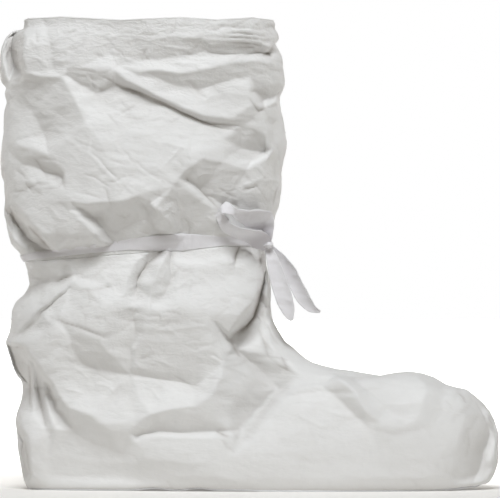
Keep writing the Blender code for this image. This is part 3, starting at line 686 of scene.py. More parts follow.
class FoldNet:
    """Flat facets of sheet between the listed ridge and trough lines in the side view."""

    MARGIN = 30
    RIM_STEP = 45
    RIM_SOFTNESS = 0.5
    MERGE = 0.05  # places closer than this become one

    def __init__(self, folds: Sequence[FoldLine]) -> None:
        """Divide the side view into triangles that keep every fold line as an edge."""
        places: list[Vector] = []
        marks: list[tuple[float, float]] = []
        edges: list[tuple[int, int]] = []
        for fold in folds:
            first = len(places)
            for along, up, lift in fold.places:
                places.append(Vector((along, up)))
                marks.append((lift, fold.soft))
            edges.extend((i, i + 1) for i in range(first, len(places) - 1))
        for along, up in self._rim():
            places.append(Vector((along, up)))
            marks.append((0.0, self.RIM_SOFTNESS))
        corners, links, faces, sources, _, _ = delaunay_2d_cdt(places, edges, [], 0, self.MERGE)
        self.corners = np.array([(corner.x, corner.y) for corner in corners])
        self.faces = np.array([face for face in faces if len(face) == 3])
        self.marks = np.zeros((len(corners), 2))
        for i, source in enumerate(sources):
            if source:
                self.marks[i] = np.mean([marks[k] for k in source], axis=0)
        for i, source in enumerate(sources):
            if not source:
                beside = [b if a == i else a for a, b in links if i in (a, b)]
                self.marks[i] = np.mean(self.marks[beside], axis=0)

    def _rim(self) -> list[tuple[float, float]]:
        """Return level places round the outline that hold the sheet at its own form."""
        rim = [(edge.along, edge.up) for edge in BACK_OUTLINE[::4] + FRONT_OUTLINE[::4]]
        high, wide = GRID_HEIGHT + self.MARGIN, GRID_LENGTH + self.MARGIN
        rim += [(a, u) for a in range(-self.MARGIN, wide, self.RIM_STEP) for u in (-self.MARGIN, high)]
        rim += [(a, u) for u in range(0, GRID_HEIGHT, self.RIM_STEP) for a in (-self.MARGIN, wide)]
        return rim

    def at(self, along: np.ndarray, up: np.ndarray) -> tuple[np.ndarray, np.ndarray]:
        """Return the lift, in the units of the fold lines, and the softness at places of the side view.

        Args:
            along: Places along the side view, in grid steps.
            up: Places above the floor, in grid steps.

        Returns:
            Lift and softness, each straight across a facet between the marks of its three corners.
        """
        lift = np.zeros(along.shape)
        soft = np.zeros(along.shape)
        for face in self.faces:
            a, b, c = self.corners[face]
            area = (b[0] - a[0]) * (c[1] - a[1]) - (b[1] - a[1]) * (c[0] - a[0])
            low, high = np.minimum(np.minimum(a, b), c), np.maximum(np.maximum(a, b), c)
            near = (along >= low[0]) & (along <= high[0]) & (up >= low[1]) & (up <= high[1])
            if abs(area) < 1e-9 or not near.any():
                continue
            x, y = along[near] - a[0], up[near] - a[1]
            s = (x * (c[1] - a[1]) - y * (c[0] - a[0])) / area
            t = (y * (b[0] - a[0]) - x * (b[1] - a[1])) / area
            inside = (s >= -1e-7) & (t >= -1e-7) & (s + t <= 1 + 1e-7)
            marks = self.marks[face]
            values = (1 - s - t)[:, None] * marks[0] + s[:, None] * marks[1] + t[:, None] * marks[2]
            lift[near] = np.where(inside, values[:, 0], lift[near])
            soft[near] = np.where(inside, values[:, 1], soft[near])
        return lift, soft


def crease_lift(creases: Sequence[Crease], along: np.ndarray, up: np.ndarray) -> np.ndarray:
    """Return the lift of thin creases at places of the side view.

    Args:
        creases: The creases.
        along: Places along the side view, in grid steps.
        up: Places above the floor, in grid steps.

    Returns:
        The sum over the creases of lift times exp(-distance / width), fading to nothing at both ends.
    """
    total = np.zeros(along.shape)
    for crease in creases:
        places = np.array(crease.places, dtype=float)
        steps = np.linalg.norm(np.diff(places, axis=0), axis=1)
        run = np.concatenate([[0.0], np.cumsum(steps)])
        reach = 6 * crease.width
        low, high = places.min(axis=0) - reach, places.max(axis=0) + reach
        near = (along > low[0]) & (along < high[0]) & (up > low[1]) & (up < high[1])
        if not near.any():
            continue
        x, y = along[near], up[near]
        nearest = np.full(x.shape, np.inf)
        share = np.zeros(x.shape)
        for i, step in enumerate(steps):
            way = (places[i + 1] - places[i]) / step
            t = np.clip((x - places[i, 0]) * way[0] + (y - places[i, 1]) * way[1], 0.0, step)
            distance = np.hypot(x - places[i, 0] - way[0] * t, y - places[i, 1] - way[1] * t)
            share = np.where(distance < nearest, (run[i] + t) / run[-1], share)
            nearest = np.minimum(distance, nearest)
        total[near] += crease.lift * np.sqrt(np.sin(math.pi * share)) * np.exp(-nearest / crease.width)
    return total


def scatter_creases(seed: int) -> list[Crease]:
    """Return small random creases of the crumpled sheet.

    Args:
        seed: Seed of the draw.

    Returns:
        Short bent creases, about half of them raised, most of them lying near the tilt of their zone.
    """
    draw = np.random.RandomState(seed)
    creases = []
    for zone in CREASE_ZONES:
        for _ in range(zone.count):
            place = np.array([draw.uniform(*zone.along), draw.uniform(*zone.up)])
            turn = math.radians(zone.tilt + draw.normal(0.0, 24.0))
            places = [place]
            for _ in range(draw.randint(2, 5)):
                place = place + draw.uniform(4.0, 12.0) * np.array([math.cos(turn), math.sin(turn)])
                places.append(place)
                turn += math.radians(draw.normal(0.0, 28.0))
            lift = zone.lift * draw.uniform(0.6, 1.5) * draw.choice([-1.0, 1.0])
            creases.append(Crease(tuple(tuple(spot) for spot in places), lift, draw.uniform(0.9, 1.6)))
    return creases


class FacetNoise:
    """Crumple of thin sheet: random heights on a lattice in space, straight across each of its tetrahedra."""

    SIZE = 32
    TURN = np.array([[0.80, 0.36, 0.48], [-0.60, 0.48, 0.64], [0.0, -0.80, 0.60]])

    def __init__(self, seed: int, cell: Sequence[float]) -> None:
        """Draw the lattice's heights.

        Args:
            seed: Seed of the draw.
            cell: Size of a lattice cell in millimetres, along X, Y and Z before it is turned.
        """
        self.heights = np.random.RandomState(seed).uniform(-1.0, 1.0, (self.SIZE,) * 3)
        self.cell = np.array(cell) * MM

    def at(self, points: np.ndarray) -> np.ndarray:
        """Return heights between -1 and 1 at points.

        Args:
            points: Points in metres, three numbers each.

        Returns:
            The heights of a tetrahedron's four corners, weighted by how near the point is to each.
        """
        scaled = (points.reshape(-1, 3) / self.cell) @ self.TURN
        corner = np.floor(scaled).astype(int)
        part = scaled - corner
        order = np.argsort(-part, axis=1)
        part = np.take_along_axis(part, order, axis=1)
        first, second, third = part.T
        weights = np.column_stack([1 - first, first - second, second - third, third])
        rows = np.arange(len(corner))
        total = weights[:, 0] * self._look(corner)
        for k in range(3):
            corner[rows, order[:, k]] += 1
            total += weights[:, k + 1] * self._look(corner)
        return total.reshape(points.shape[:-1])

    def _look(self, corner: np.ndarray) -> np.ndarray:
        """Return the heights at lattice corners."""
        x, y, z = (corner[:, k] % self.SIZE for k in range(3))
        return self.heights[x, y, z]


class UpperForm:
    """The upper's two sides as grids of points, from the collar to the sole seam and from front to back."""

    ROWS = 372
    COLUMNS = 257
    LEVEL_SAMPLES = 3000
    GAUGE_SHARES = (0.2, 0.5, 0.8)  # where the spacing of rows is measured
    COLUMN_SPREAD = 0.45  # how much closer columns stand by the two seams
    BREADTH_BLEND = (0.15, 0.70)  # run from the back over which the front breadth takes over
    SEAM_RISE = 1.6 * MM  # sole seam above the sole's underside
    EVEN_SHARE = 0.14
    EVEN_ROWS = 16
    EVEN_REACH = 5.0
    SEAM_HOLD = 13 * MM  # breadth from the front and back seams over which folds set in
    SOLE_HOLD = (1.0, 16.0)  # heights over which folds set in
    SOLE_CALM = 12.0  # height over which crumple sets in
    DEPTH = 2.0  # millimetres for one unit of a fold line's lift
    CRISP = 0.6  # blur of crisp folds, in grid points
    SOFT = 5.5  # blur of soft folds, in grid points
    SOFT_REACH = 3.0
    GROOVE_DEPTH = 2.4  # depth in millimetres of a crease that gets the full painted shade
    RISING_RUN = (300, 390)  # along which folds turn from sideways to straight out
    RISING_SLOPE = (0.1, 0.9)
    TIED_SHARE = 0.8  # share of the crumple that the tie presses flat
    TIED_REACH = 0.45
    FOOT_LEVELS = (3, 7)  # levels below the tie over which the shaft's crumple gives way to the foot's
    CREST = 0.3
    JAG = ((26, 18, 18, 3.0), (10, 8, 8, 1.3))  # cell in millimetres, shift in grid steps
    # Cell in millimetres, height in millimetres and share of it along the foot.
    CRUMPLE = ((46, 30, 30, 0.7, 0.7), (21, 14, 14, 0.30, 0.5), (11, 5, 5, 0.18, 0.4), (5, 4, 4, 0.1, 0.7))
    CREASED = ((40, 24, 24, 0.8, 0.6), (19, 11, 11, 0.5, 0.5), (9, 5, 5, 0.24, 0.3))

    def __init__(self) -> None:
        """Make both sides."""
        self.back = Outline(BACK_OUTLINE)
        self.front = Outline(FRONT_OUTLINE)
        self.tie_level = STATIONS.index("tie_top") + 0.5
        self.noises = self._layers(self.CRUMPLE, SEED)
        self.ridged = self._layers(self.CREASED, CREASED_SEED)
        self.levels, self.tie_row = self._row_levels()
        self.shares = np.linspace(0.0, 1.0, self.COLUMNS)
        self.plain: dict[Side, np.ndarray] = {}
        self.points: dict[Side, np.ndarray] = {}
        self.grooves: dict[Side, np.ndarray] = {}
        nets = {Side.NEAR: (NEAR_FOLDS, NEAR_CREASES), Side.FAR: (FAR_FOLDS, FAR_CREASES)}
        for side, (folds, creases) in nets.items():
            self._make(side, FoldNet(folds), [*creases, *scatter_creases(SEED + side.value)])

    @staticmethod
    def _layers(rows: Sequence[tuple], seed: int) -> list[tuple[FacetNoise, float, float]]:
        """Return layers of crumple: each row's noise, its height and the share of it along the foot."""
        return [(FacetNoise(seed + i, row[:3]), row[3], row[4]) for i, row in enumerate(rows)]

    def _row_levels(self) -> tuple[np.ndarray, int]:
        """Return the levels of evenly spaced rows, and the number of the row at the tie."""
        dense = np.linspace(0.0, len(STATIONS) - 1, self.LEVEL_SAMPLES)
        path = self.base(dense[:, None], np.array([self.GAUGE_SHARES]), Side.NEAR)
        steps = np.linalg.norm(np.diff(path, axis=0), axis=2).mean(axis=1)
        run = np.concatenate([[0.0], np.cumsum(steps)])
        tie_run = np.interp(self.tie_level, dense, run)
        half = self.ROWS // 2
        above = np.interp(np.linspace(0.0, tie_run, half + 1), run, dense)
        below = np.interp(np.linspace(tie_run, run[-1], self.ROWS - half + 1), run, dense)
        return np.concatenate([above, below[1:]]), half

    def base(self, level: np.ndarray, share: np.ndarray, side: Side) -> np.ndarray:
        """Return points of the smooth form that the folds are laid on.

        Args:
            level: Levels of the rows, by station number.
            share: Shares of the way from the front seam to the back seam.
            side: Side of the cover.

        Returns:
            Points on loops between the front and back edges, each a superellipse whose half breadth and
            exponent change with the level.
        """
        level, share = np.broadcast_arrays(level, share)
        back_along, back_up = self.back.at(level)
        front_along, front_up = self.front.at(level)
        numbers = np.arange(len(STATIONS))
        back_half, front_half, roundness = (
            np.interp(level, numbers, [row[k] for row in BREADTHS]) for k in (1, 2, 3))
        turn = math.pi * (share + self.COLUMN_SPREAD * np.sin(2 * math.pi * share) / (2 * math.pi))
        cosine, sine = np.cos(turn), np.maximum(np.sin(turn), 0.0)
        lengthwise = 0.5 + 0.5 * np.sign(cosine) * np.abs(cosine) ** (2 / roundness)
        half = back_half + (front_half - back_half) * smooth_step(lengthwise, *self.BREADTH_BLEND)
        x = to_x(back_along + (front_along - back_along) * lengthwise)
        y = side.value * half * MM * sine ** (2 / roundness)
        z = (back_up + (front_up - back_up) * lengthwise) * STEP
        floor_level = smooth_step(level, len(STATIONS) - 2, len(STATIONS) - 1)
        z = z + floor_level * (sole_lift(x, y) + self.SEAM_RISE - z)
        dips = np.array(COLLAR_LINE)
        dip = STEP * np.interp((x - CAD_LOW.x) / STEP, dips[:, 0], dips[:, 1])
        z = z + dip * (1 - smooth_step(level, 0.0, 0.5))
        return np.stack([x, y, z], axis=-1)

    def _make(self, side: Side, net: FoldNet, creases: Sequence[Crease]) -> None:
        """Lay the folds, creases and crumple of one side on its smooth form."""
        base = self._even(self.base(self.levels[:, None], self.shares[None, :], side))
        along = (base[..., 0] - CAD_LOW.x) / STEP
        up = base[..., 2] / STEP
        shift_along, shift_up = (self._jag(base, seed) for seed in JAG_SEEDS)
        lift, soft = net.at(along + shift_along, up + shift_up)
        soft = np.clip(blur(soft, self.SOFT_REACH), 0.0, 1.0)
        lift = self.DEPTH * ((1 - soft) * blur(lift, self.CRISP) + soft * blur(lift, self.SOFT))
        thin = crease_lift(creases, along, up)
        # How much painted shade each point gets along the thin troughs of creases.
        self.grooves[side] = np.clip(-thin / self.GROOVE_DEPTH, 0.0, 1.0)
        lift += thin
        hold = smooth_step(np.abs(base[..., 1]), 0.0, self.SEAM_HOLD) * smooth_step(up, *self.SOLE_HOLD)
        outward = self._normals(base)
        rising = smooth_step(outward[..., 2], *self.RISING_SLOPE) * smooth_step(along, *self.RISING_RUN)
        rising = rising[..., None]
        way = unit((1 - rising) * np.array([0.0, side.value, 0.0]) + rising * outward)
        plain = base + way * (hold * lift * MM)[..., None]
        normal = self._normals(plain)
        normal[..., 1] *= smooth_step(np.abs(base[..., 1]), 0.0, self.SEAM_HOLD)
        normal = unit(normal)
        below = self.levels - self.tie_level
        tied = 1 - self.TIED_SHARE * np.exp(-((below / self.TIED_REACH) ** 2))[:, None]
        shaft = 1 - smooth_step(below, *self.FOOT_LEVELS)[:, None]
        crumple = sum(noise.at(base) * size * (low + (1 - low) * shaft) for noise, size, low in self.noises)
        crumple += sum((self.CREST - np.abs(noise.at(base))) * size * (low + (1 - low) * shaft)
                       for noise, size, low in self.ridged)
        crumple *= tied * smooth_step(up, 0.0, self.SOLE_CALM)
        self.plain[side] = plain
        self.points[side] = plain + normal * (crumple * MM)[..., None]

    def _even(self, points: np.ndarray) -> np.ndarray:
        """Return a grid of points with its rows blended into each other away from its edges."""
        rows = np.minimum(np.arange(self.ROWS + 1), np.arange(self.ROWS, -1, -1))
        inner = smooth_step(np.minimum(self.shares, 1 - self.shares), 0.0, self.EVEN_SHARE)
        share = smooth_step(rows, 0, self.EVEN_ROWS)[:, None] * inner[None, :]
        return points + share[..., None] * (blur(points, self.EVEN_REACH, axes=(0,)) - points)

    def _jag(self, points: np.ndarray, seed: int) -> np.ndarray:
        """Return small shifts, in grid steps, that bend the fold lines into short straight runs."""
        return sum(FacetNoise(seed + i, row[:3]).at(points) * row[3] for i, row in enumerate(self.JAG))

    def _normals(self, points: np.ndarray) -> np.ndarray:
        """Return the outward unit normals of a grid of points."""
        normal = unit(np.cross(np.gradient(points, axis=0), np.gradient(points, axis=1)))
        out = points - points.mean(axis=1, keepdims=True)
        return normal * np.sign(np.sum(normal * out))


class Value:
    """A shader value: an output socket whose arithmetic adds Math nodes to its graph."""

    def __init__(self, graph: "Graph", socket: bpy.types.NodeSocket) -> None:
        """Wrap a socket of a graph."""
        self.graph = graph
        self.socket = socket

    def _math(self, operation: str, first: "Number", second: "Number") -> "Value":
        """Return the result of a new Math node."""
        return self.graph.value("ShaderNodeMath", {"operation": operation}, {0: first, 1: second})

    def __add__(self, other: "Number") -> "Value":
        return self._math("ADD", self, other)

    def __radd__(self, other: "Number") -> "Value":
        return self._math("ADD", other, self)

    def __sub__(self, other: "Number") -> "Value":
        return self._math("SUBTRACT", self, other)

    def __rsub__(self, other: "Number") -> "Value":
        return self._math("SUBTRACT", other, self)

    def __mul__(self, other: "Number") -> "Value":
        return self._math("MULTIPLY", self, other)

    def __rmul__(self, other: "Number") -> "Value":
        return self._math("MULTIPLY", other, self)


Number = Union[Value, float]


class Graph:
    """The node graph of a material."""

    def __init__(self, tree: bpy.types.NodeTree) -> None:
        """Start with an empty graph."""
        self.tree = tree
        tree.nodes.clear()

    def node(self, kind: str, settings: Optional[dict] = None,
             sockets: Optional[dict] = None) -> bpy.types.Node:
        """Add a node.

        Args:
            kind: Type of node.
            settings: Its own settings, set first.
            sockets: Values or links of its inputs, by name or number.

        Returns:
            The new node.
        """
        node = self.tree.nodes.new(kind)
        for name, setting in (settings or {}).items():
            setattr(node, name, setting)
        for key, value in (sockets or {}).items():
            if isinstance(value, Value):
                self.tree.links.new(value.socket, node.inputs[key])
            else:
                node.inputs[key].default_value = value
        return node

    def value(self, kind: str, settings: Optional[dict] = None, sockets: Optional[dict] = None,
              output: Union[int, str] = 0) -> Value:
        """Add a node and return one of its outputs as a value."""
        return Value(self, self.node(kind, settings, sockets).outputs[output])

    def blend(self, share: Number, first: Union[Value, tuple], second: Union[Value, tuple]) -> Value:
        """Return a colour between two colours."""
        settings = {"data_type": "RGBA", "clamp_factor": True}
        return self.value("ShaderNodeMix", settings, {0: share, 6: first, 7: second}, 2)


@dataclass(frozen=True)
class SheetFinish:
    """Spun fibre sheet: cloudy off-white, matt, with a fine tangle of fibres and a web of pressed creases."""

    name: str
    light: tuple
    shade: tuple
    # Colour of the painted shade that the fold attribute mixes in.
    fold: tuple
    roughness: float = 0.62
    cloud_size: float = 9.0
    fibre_size: float = 0.7
    crinkle_size: float = 11.0
    crinkle_depth: float = 0.16
    fibre_depth: float = 0.035
    wrinkle_size: tuple = (6.0, 4.0, 2.6)
    wrinkle_depth: float = 0.27

    def build(self) -> bpy.types.Material:
        """Return the material."""
        material = bpy.data.materials.new(self.name)
        material.use_nodes = True
        graph = Graph(material.node_tree)
        place = graph.value("ShaderNodeTexCoord", output="Object")
        clouds = graph.value("ShaderNodeTexNoise", None, {
            "Vector": place, "Scale": 1.0 / (self.cloud_size * MM), "Detail": 5.0, "Roughness": 0.6,
            "Distortion": 0.6})
        fibres = graph.value("ShaderNodeTexNoise", None, {
            "Vector": place, "Scale": 1.0 / (self.fibre_size * MM), "Detail": 4.0, "Roughness": 0.7,
            "Distortion": 1.5})
        web = graph.value("ShaderNodeTexVoronoi", {"feature": "DISTANCE_TO_EDGE"}, {
            "Vector": place, "Scale": 1.0 / (self.crinkle_size * MM), "Randomness": 1.0})
        crinkle = graph.value("ShaderNodeMath", {"operation": "SMOOTH_MIN"}, {0: web, 1: 0.30, 2: 0.12})
        bend = graph.value("ShaderNodeTexNoise", None, {
            "Vector": place, "Scale": 1.0 / (self.cloud_size * MM), "Detail": 1.0}, output="Color")
        bent = graph.value("ShaderNodeVectorMath", {"operation": "MULTIPLY_ADD"}, {
            0: bend, 1: (6.0 * MM,) * 3, 2: place})
        stretched = graph.value("ShaderNodeVectorMath", {"operation": "MULTIPLY"}, {
            0: bent, 1: tuple(1.0 / (size * MM) for size in self.wrinkle_size)})
        facets, small = (graph.value("ShaderNodeTexVoronoi", {"distance": "MANHATTAN"}, {
            "Vector": stretched, "Scale": scale, "Randomness": 1.0}) for scale in (1.0, 2.1))
        wrinkles = facets + small * 0.4
        # How much painted shade each point gets, read from its fold attribute.
        depth = graph.value("ShaderNodeAttribute", {"attribute_name": "fold"}, output="Fac")
        crisp = graph.value("ShaderNodeAttribute", {"attribute_name": "crisp"}, output="Fac")
        colour = graph.blend(0.65 * clouds + 0.35 * fibres, self.shade, self.light)
        colour = graph.blend(depth, colour, self.fold)
        height = (clouds * 0.25 + crinkle) * (self.crinkle_depth * MM)
        height = height + fibres * (self.fibre_depth * MM)
        height = height + wrinkles * crisp * (self.wrinkle_depth * MM)
        bump = graph.value("ShaderNodeBump", None, {"Strength": 1.0, "Distance": 1.0, "Height": height})
        roughness = self.roughness - 0.12 * clouds + 0.1 * fibres
        shader = graph.node("ShaderNodeBsdfPrincipled", None, {
            "Base Color": colour, "Roughness": roughness, "Normal": bump, "Specular IOR Level": 0.35,
            "Sheen Weight": 0.12, "Sheen Roughness": 0.5})
        graph.node("ShaderNodeOutputMaterial", None, {"Surface": Value(graph, shader.outputs["BSDF"])})
        return material


@dataclass(frozen=True)
class PlainFinish:
    """A matt studio surface, white round the cover and darker towards the viewer."""

    name: str
    colour: tuple
    dark: tuple
    roughness: float
    # Painted light: the floor glows, faintly in front and most from just behind the cover, over its shadow.
    glow: tuple
    fade: tuple = (-0.9, -0.10)
    glow_fade: tuple = (-0.02, 0.12)

    def build(self) -> bpy.types.Material:
        """Return the material."""
        material = bpy.data.materials.new(self.name)
        material.use_nodes = True
        graph = Graph(material.node_tree)
        place = graph.value("ShaderNodeTexCoord", output="Object")
        parts = graph.node("ShaderNodeSeparateXYZ", None, {0: place})
        share, behind = (graph.value("ShaderNodeMapRange", {"interpolation_type": "SMOOTHSTEP"}, {
            "Value": Value(graph, parts.outputs[1]), "From Min": low, "From Max": high})
            for low, high in (self.fade, self.glow_fade))
        colour = graph.blend(share, (*self.dark, 1.0), (*self.colour, 1.0))
        # Painted light over the cover's shadow: the glow rises from the front amount to the behind amount.
        glows = [(*(amount * part for part in self.colour), 1.0) for amount in self.glow]
        light = graph.blend(behind, *glows)
        shader = graph.node("ShaderNodeBsdfPrincipled", None, {
            "Base Color": colour, "Roughness": self.roughness,
            "Emission Color": light, "Emission Strength": 1.0})
        graph.node("ShaderNodeOutputMaterial", None, {"Surface": Value(graph, shader.outputs["BSDF"])})
        return material


UPPER_FINISH = SheetFinish("upper_sheet", (0.83, 0.828, 0.82, 1), (0.74, 0.735, 0.725, 1),
                           (0.40, 0.37, 0.34, 1))
SOLE_FINISH = SheetFinish("sole_sheet", (0.76, 0.76, 0.77, 1), (0.66, 0.66, 0.67, 1), (0.5, 0.48, 0.48, 1),
                          cloud_size=6.0, crinkle_depth=0.10)
TAPE_FINISH = SheetFinish("tie_tape", (0.835, 0.825, 0.842, 1), (0.735, 0.723, 0.742, 1), (0.5, 0.47, 0.5, 1),
                          cloud_size=5.0, crinkle_size=5.0, crinkle_depth=0.12)
THREAD_FINISH = SheetFinish("seam_thread", (0.80, 0.79, 0.80, 1), (0.66, 0.64, 0.65, 1), (0.5, 0.47, 0.47, 1),
                            cloud_size=3.0, crinkle_size=2.0, crinkle_depth=0.05)
FLOOR_FINISH = PlainFinish("studio_floor", (0.83, 0.815, 0.79), (0.28, 0.26, 0.23), 0.9, (0.14, 0.52))


@dataclass
class UpperSheet:
    """The upper's four panels of crumpled sheet: shaft and foot, near side and far side."""

    form: UpperForm
    finish: bpy.types.Material
    thickness: float = 0.4 * MM
    # Painted shade in the sheet's hollows and along its thin creases.
    hollow_reach: float = 9.0
    hollow_depth: float = 3.0 * MM
    hollow_shade: float = 0.20
    groove_shade: float = 0.85
    # Painted shade by the sole: darkest at the floor, gone a few millimetres up.
    sole_shade: float = 0.32
    sole_shade_height: float = 7.0 * MM

    def make(self) -> list[bpy.types.Object]:
        """Add the panels."""
        tie = self.form.tie_row
        parts = {"shaft": (slice(0, tie + 1), 0.280, 0.235, 0.064),
                 "foot": (slice(tie, None), 0.470, 0.260, 0.092)}
        crisp = self._crispness()
        pieces = []
        for side in Side:
            shade = self._shade(side)
            for part, (rows, width, length, area) in parts.items():
                grid = self.form.points[side][rows]
                faces = grid_faces(grid.shape[0], grid.shape[1], flip=side is Side.NEAR)
                piece = add_mesh(f"{part}_{side.name.lower()}", grid, faces)
                paint_attribute(piece, "fold", shade[rows])
                paint_attribute(piece, "crisp", crisp[rows])
                thicken(piece, self.thickness)
                dress(piece, self.finish, "upper")
                pieces.append(piece)
        return pieces

    def _shade(self, side: Side) -> np.ndarray:
        """Return the painted shade of the sheet at each point: in hollows, along thin creases and by the
        sole.
        """
        depth = self.form.plain[side][..., 1]
        # Painted shade in the hollows of the sheet.
        low = np.clip(-side.value * (depth - blur(depth, self.hollow_reach)) / self.hollow_depth, 0.0, 1.0)
        # Painted shade by the sole, where the sheet meets the floor.
        sole_shade = self.sole_shade * (1.0 - smooth_step(self.form.points[side][..., 2], 0.0, self.sole_shade_height))
        grooves = self.groove_shade * self.form.grooves[side]
        return np.clip(self.hollow_shade * low + grooves + sole_shade, 0.0, 1.0)

    def _crispness(self) -> np.ndarray:
        """Return how wrinkled the sheet is at each point: most on the shaft, least along the foot."""
        amounts = {"collar": 1.0, "hem": 0.85, "dent": 0.45, "mid": 0.40, "tie_top": 0.8, "gather": 0.7,
                   "instep_top": 0.5, "vamp_dip": 0.35, "sole_seam": 0.25}
        stations = [STATIONS.index(name) for name in amounts]
        down = np.interp(self.form.levels, stations, list(amounts.values()))
        return np.repeat(down[:, None], self.form.COLUMNS, axis=1)


@dataclass
class Ridge:
    """A sewn edge: a narrow roll of sheet under close loops of thread."""

    name: str
    path: np.ndarray
    outward: np.ndarray
    finish: bpy.types.Material
    replaced: str
    slot: str
    radius: float = 0.7 * MM
    pitch: float = 2.4 * MM
    swell: float = 0.38
    thin_share: float = 0.7
    slant: float = 0.8
    looped: bool = False
    # Painted shadow: a dark line along one run of the near side, fading in and out at its ends.
    painted_shadow: float = 0.0
    painted_shadow_run: tuple = (90.0, 217.0)
    painted_shadow_fade: float = 8 * MM
    sides: int = 10
    ring_step: float = 0.6 * MM

    def make(self) -> bpy.types.Object:
        """Add the ridge along its path.

        Returns:
            A tube whose radius swells at each stitch, with the swelling slanted round the tube.
        """
        path, outward = self.path, self.outward
        if self.looped:
            path, outward = (np.concatenate([line, line[:1]]) for line in (path, outward))
        steps = np.linalg.norm(np.diff(path, axis=0), axis=1)
        run = np.concatenate([[0.0], np.cumsum(steps)])
        count = int(run[-1] / self.ring_step)
        at = np.linspace(0.0, run[-1], count, endpoint=not self.looped)
        middle = np.stack([np.interp(at, run, path[:, k]) for k in range(3)], axis=1)
        out = unit(np.stack([np.interp(at, run, outward[:, k]) for k in range(3)], axis=1))
        around = np.roll(middle, -1, axis=0) - np.roll(middle, 1, axis=0)
        tangent = unit(around if self.looped else np.gradient(middle, axis=0))
        across = unit(np.cross(tangent, out))
        turn = np.linspace(0.0, 2 * math.pi, self.sides, endpoint=False)
        wave = np.abs(np.sin(math.pi * at[:, None] / self.pitch + self.slant * np.sin(turn)[None, :]))
        radius = self.radius * (1.0 - self.thin_share * self.swell + self.swell * wave)
        points = (middle[:, None, :] + out[:, None, :] * (radius * np.cos(turn)[None, :])[..., None]
                  + across[:, None, :] * (radius * np.sin(turn)[None, :])[..., None])
        faces = grid_faces(count + self.looped, self.sides, closed=True) % (count * self.sides)
        piece = add_mesh(self.name, points, faces, caps=0 if self.looped else self.sides)
        paint_attribute(piece, "fold", self._painted_shadow(points))
        return dress(piece, self.finish, self.replaced)

    def _painted_shadow(self, points: np.ndarray) -> np.ndarray:
        """Return the painted shadow on the ridge at each point: along one run of its near side."""
        x, fade = points[..., 0], self.painted_shadow_fade
        start, end = (to_x(place) for place in self.painted_shadow_run)
        mark = smooth_step(x, start, start + fade) - smooth_step(x, end - fade, end)
        return self.painted_shadow * mark * (points[..., 1] < 0.0)


@dataclass
class SolePanel:
    """The flat sole panel that closes the upper below."""

    form: UpperForm
    finish: bpy.types.Material
    lip: float = 0.6 * MM
    thickness: float = 1.2 * MM
    strips: int = 25
    wave_height: float = 0.5 * MM
    wave_share: float = 0.6
    rim_hold: int = 6

    def make(self) -> bpy.types.Object:
        """Add the panel: strips from the near edge to the far edge, a little wavy inside its rim."""
        near = self.form.base(self.form.levels[-1:, None], self.form.shares[None, :], Side.NEAR)[0]
        near = near[2:-2:2]
        outward = unit(np.stack([np.gradient(near[:, 1]), -np.gradient(near[:, 0])], axis=1))
        if np.sum(outward[len(outward) // 2] * np.array([0.0, -1.0])) < 0:
            outward = -outward
        rim = near[:, :2] + outward * self.lip
        across = np.sin(np.linspace(-0.5, 0.5, self.strips) * math.pi)
        x = np.repeat(rim[:, :1], len(across), axis=1)
        y = -rim[:, 1:] * across[None, :]
        waves = FacetNoise(SOLE_SEED, (30, 22, 22))
        flat = np.stack([x, y, np.zeros_like(x)], axis=-1)
        wave = self.wave_height * (1 + waves.at(flat)) * (1 - np.abs(across[None, :]) ** self.rim_hold)
        z = sole_lift(x, y) + self.thickness + self.wave_share * wave
        piece = add_mesh("sole_panel", np.stack([x, y, z], axis=-1), grid_faces(len(rim), len(across)))
        thicken(piece, self.thickness)
        return dress(piece, self.finish, "sole")


@dataclass
class Tape:
    """A strip of the tie's folded tape along a route."""

    name: str
    route: Sequence[TapePlace]
    across: tuple
    finish: bpy.types.Material
    held: str
    flat: tuple
    area: Optional[float] = None
    count: int = 120
    columns: int = 17
    curl: float = 0.12
    dish_level: float = 0.33
    crumple: float = 0.45 * MM
    # Painted shade near the knot: how dark, and the distances over which it fades out.
    pleats: float = 0.0
    knot_shade_reach: tuple = (10 * MM, 26 * MM)

    def make(self) -> bpy.types.Object:
        """Add the tape: a grid along its route, lightly crumpled, with painted shade where it is pleated by
        the knot.
        """
        points = self._grid()
        face = unit(np.cross(np.gradient(points, axis=0), np.gradient(points, axis=1)))
        noise = FacetNoise(TAPE_SEED, (7, 5, 5))
        points = points + face * (self.crumple * noise.at(points))[..., None]
        piece = add_mesh(self.name, points, grid_faces(*points.shape[:2]))
        # Painted shade on the tape near the knot.
        reach = np.linalg.norm(points - np.mean(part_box("tie_knot"), axis=0), axis=-1)
        paint_attribute(piece, "fold", self.pleats * (1.0 - smooth_step(reach, *self.knot_shade_reach)))
        thicken(piece, TAPE_THICKNESS, offset=0.0)
        dress(piece, self.finish, self.name)
        return piece

    def _grid(self) -> np.ndarray:
        """Return points on the strip, dished across and turned by its lean."""
        rows = np.array([(to_x(place.along), place.depth * MM, place.up * STEP, place.width * MM, place.lean)
                         for place in self.route])
        route = smooth_route(rows, self.count)
        middle, width, lean = route[:, :3], route[:, 3], np.radians(route[:, 4])
        tangent = unit(np.gradient(middle, axis=0))
        side = np.array(self.across) - tangent * (tangent @ np.array(self.across))[:, None]
        side = unit(side)
        face = np.cross(tangent, side)
        turned = side * np.cos(lean)[:, None] + face * np.sin(lean)[:, None]
        face = np.cross(tangent, turned)
        share = np.linspace(-1.0, 1.0, self.columns)
        dish = self.curl * width[:, None] * (share[None, :] ** 2 - self.dish_level)
        return (middle[:, None, :] + turned[:, None, :] * (0.5 * width[:, None] * share[None, :])[..., None]
                + face[:, None, :] * dish[..., None])


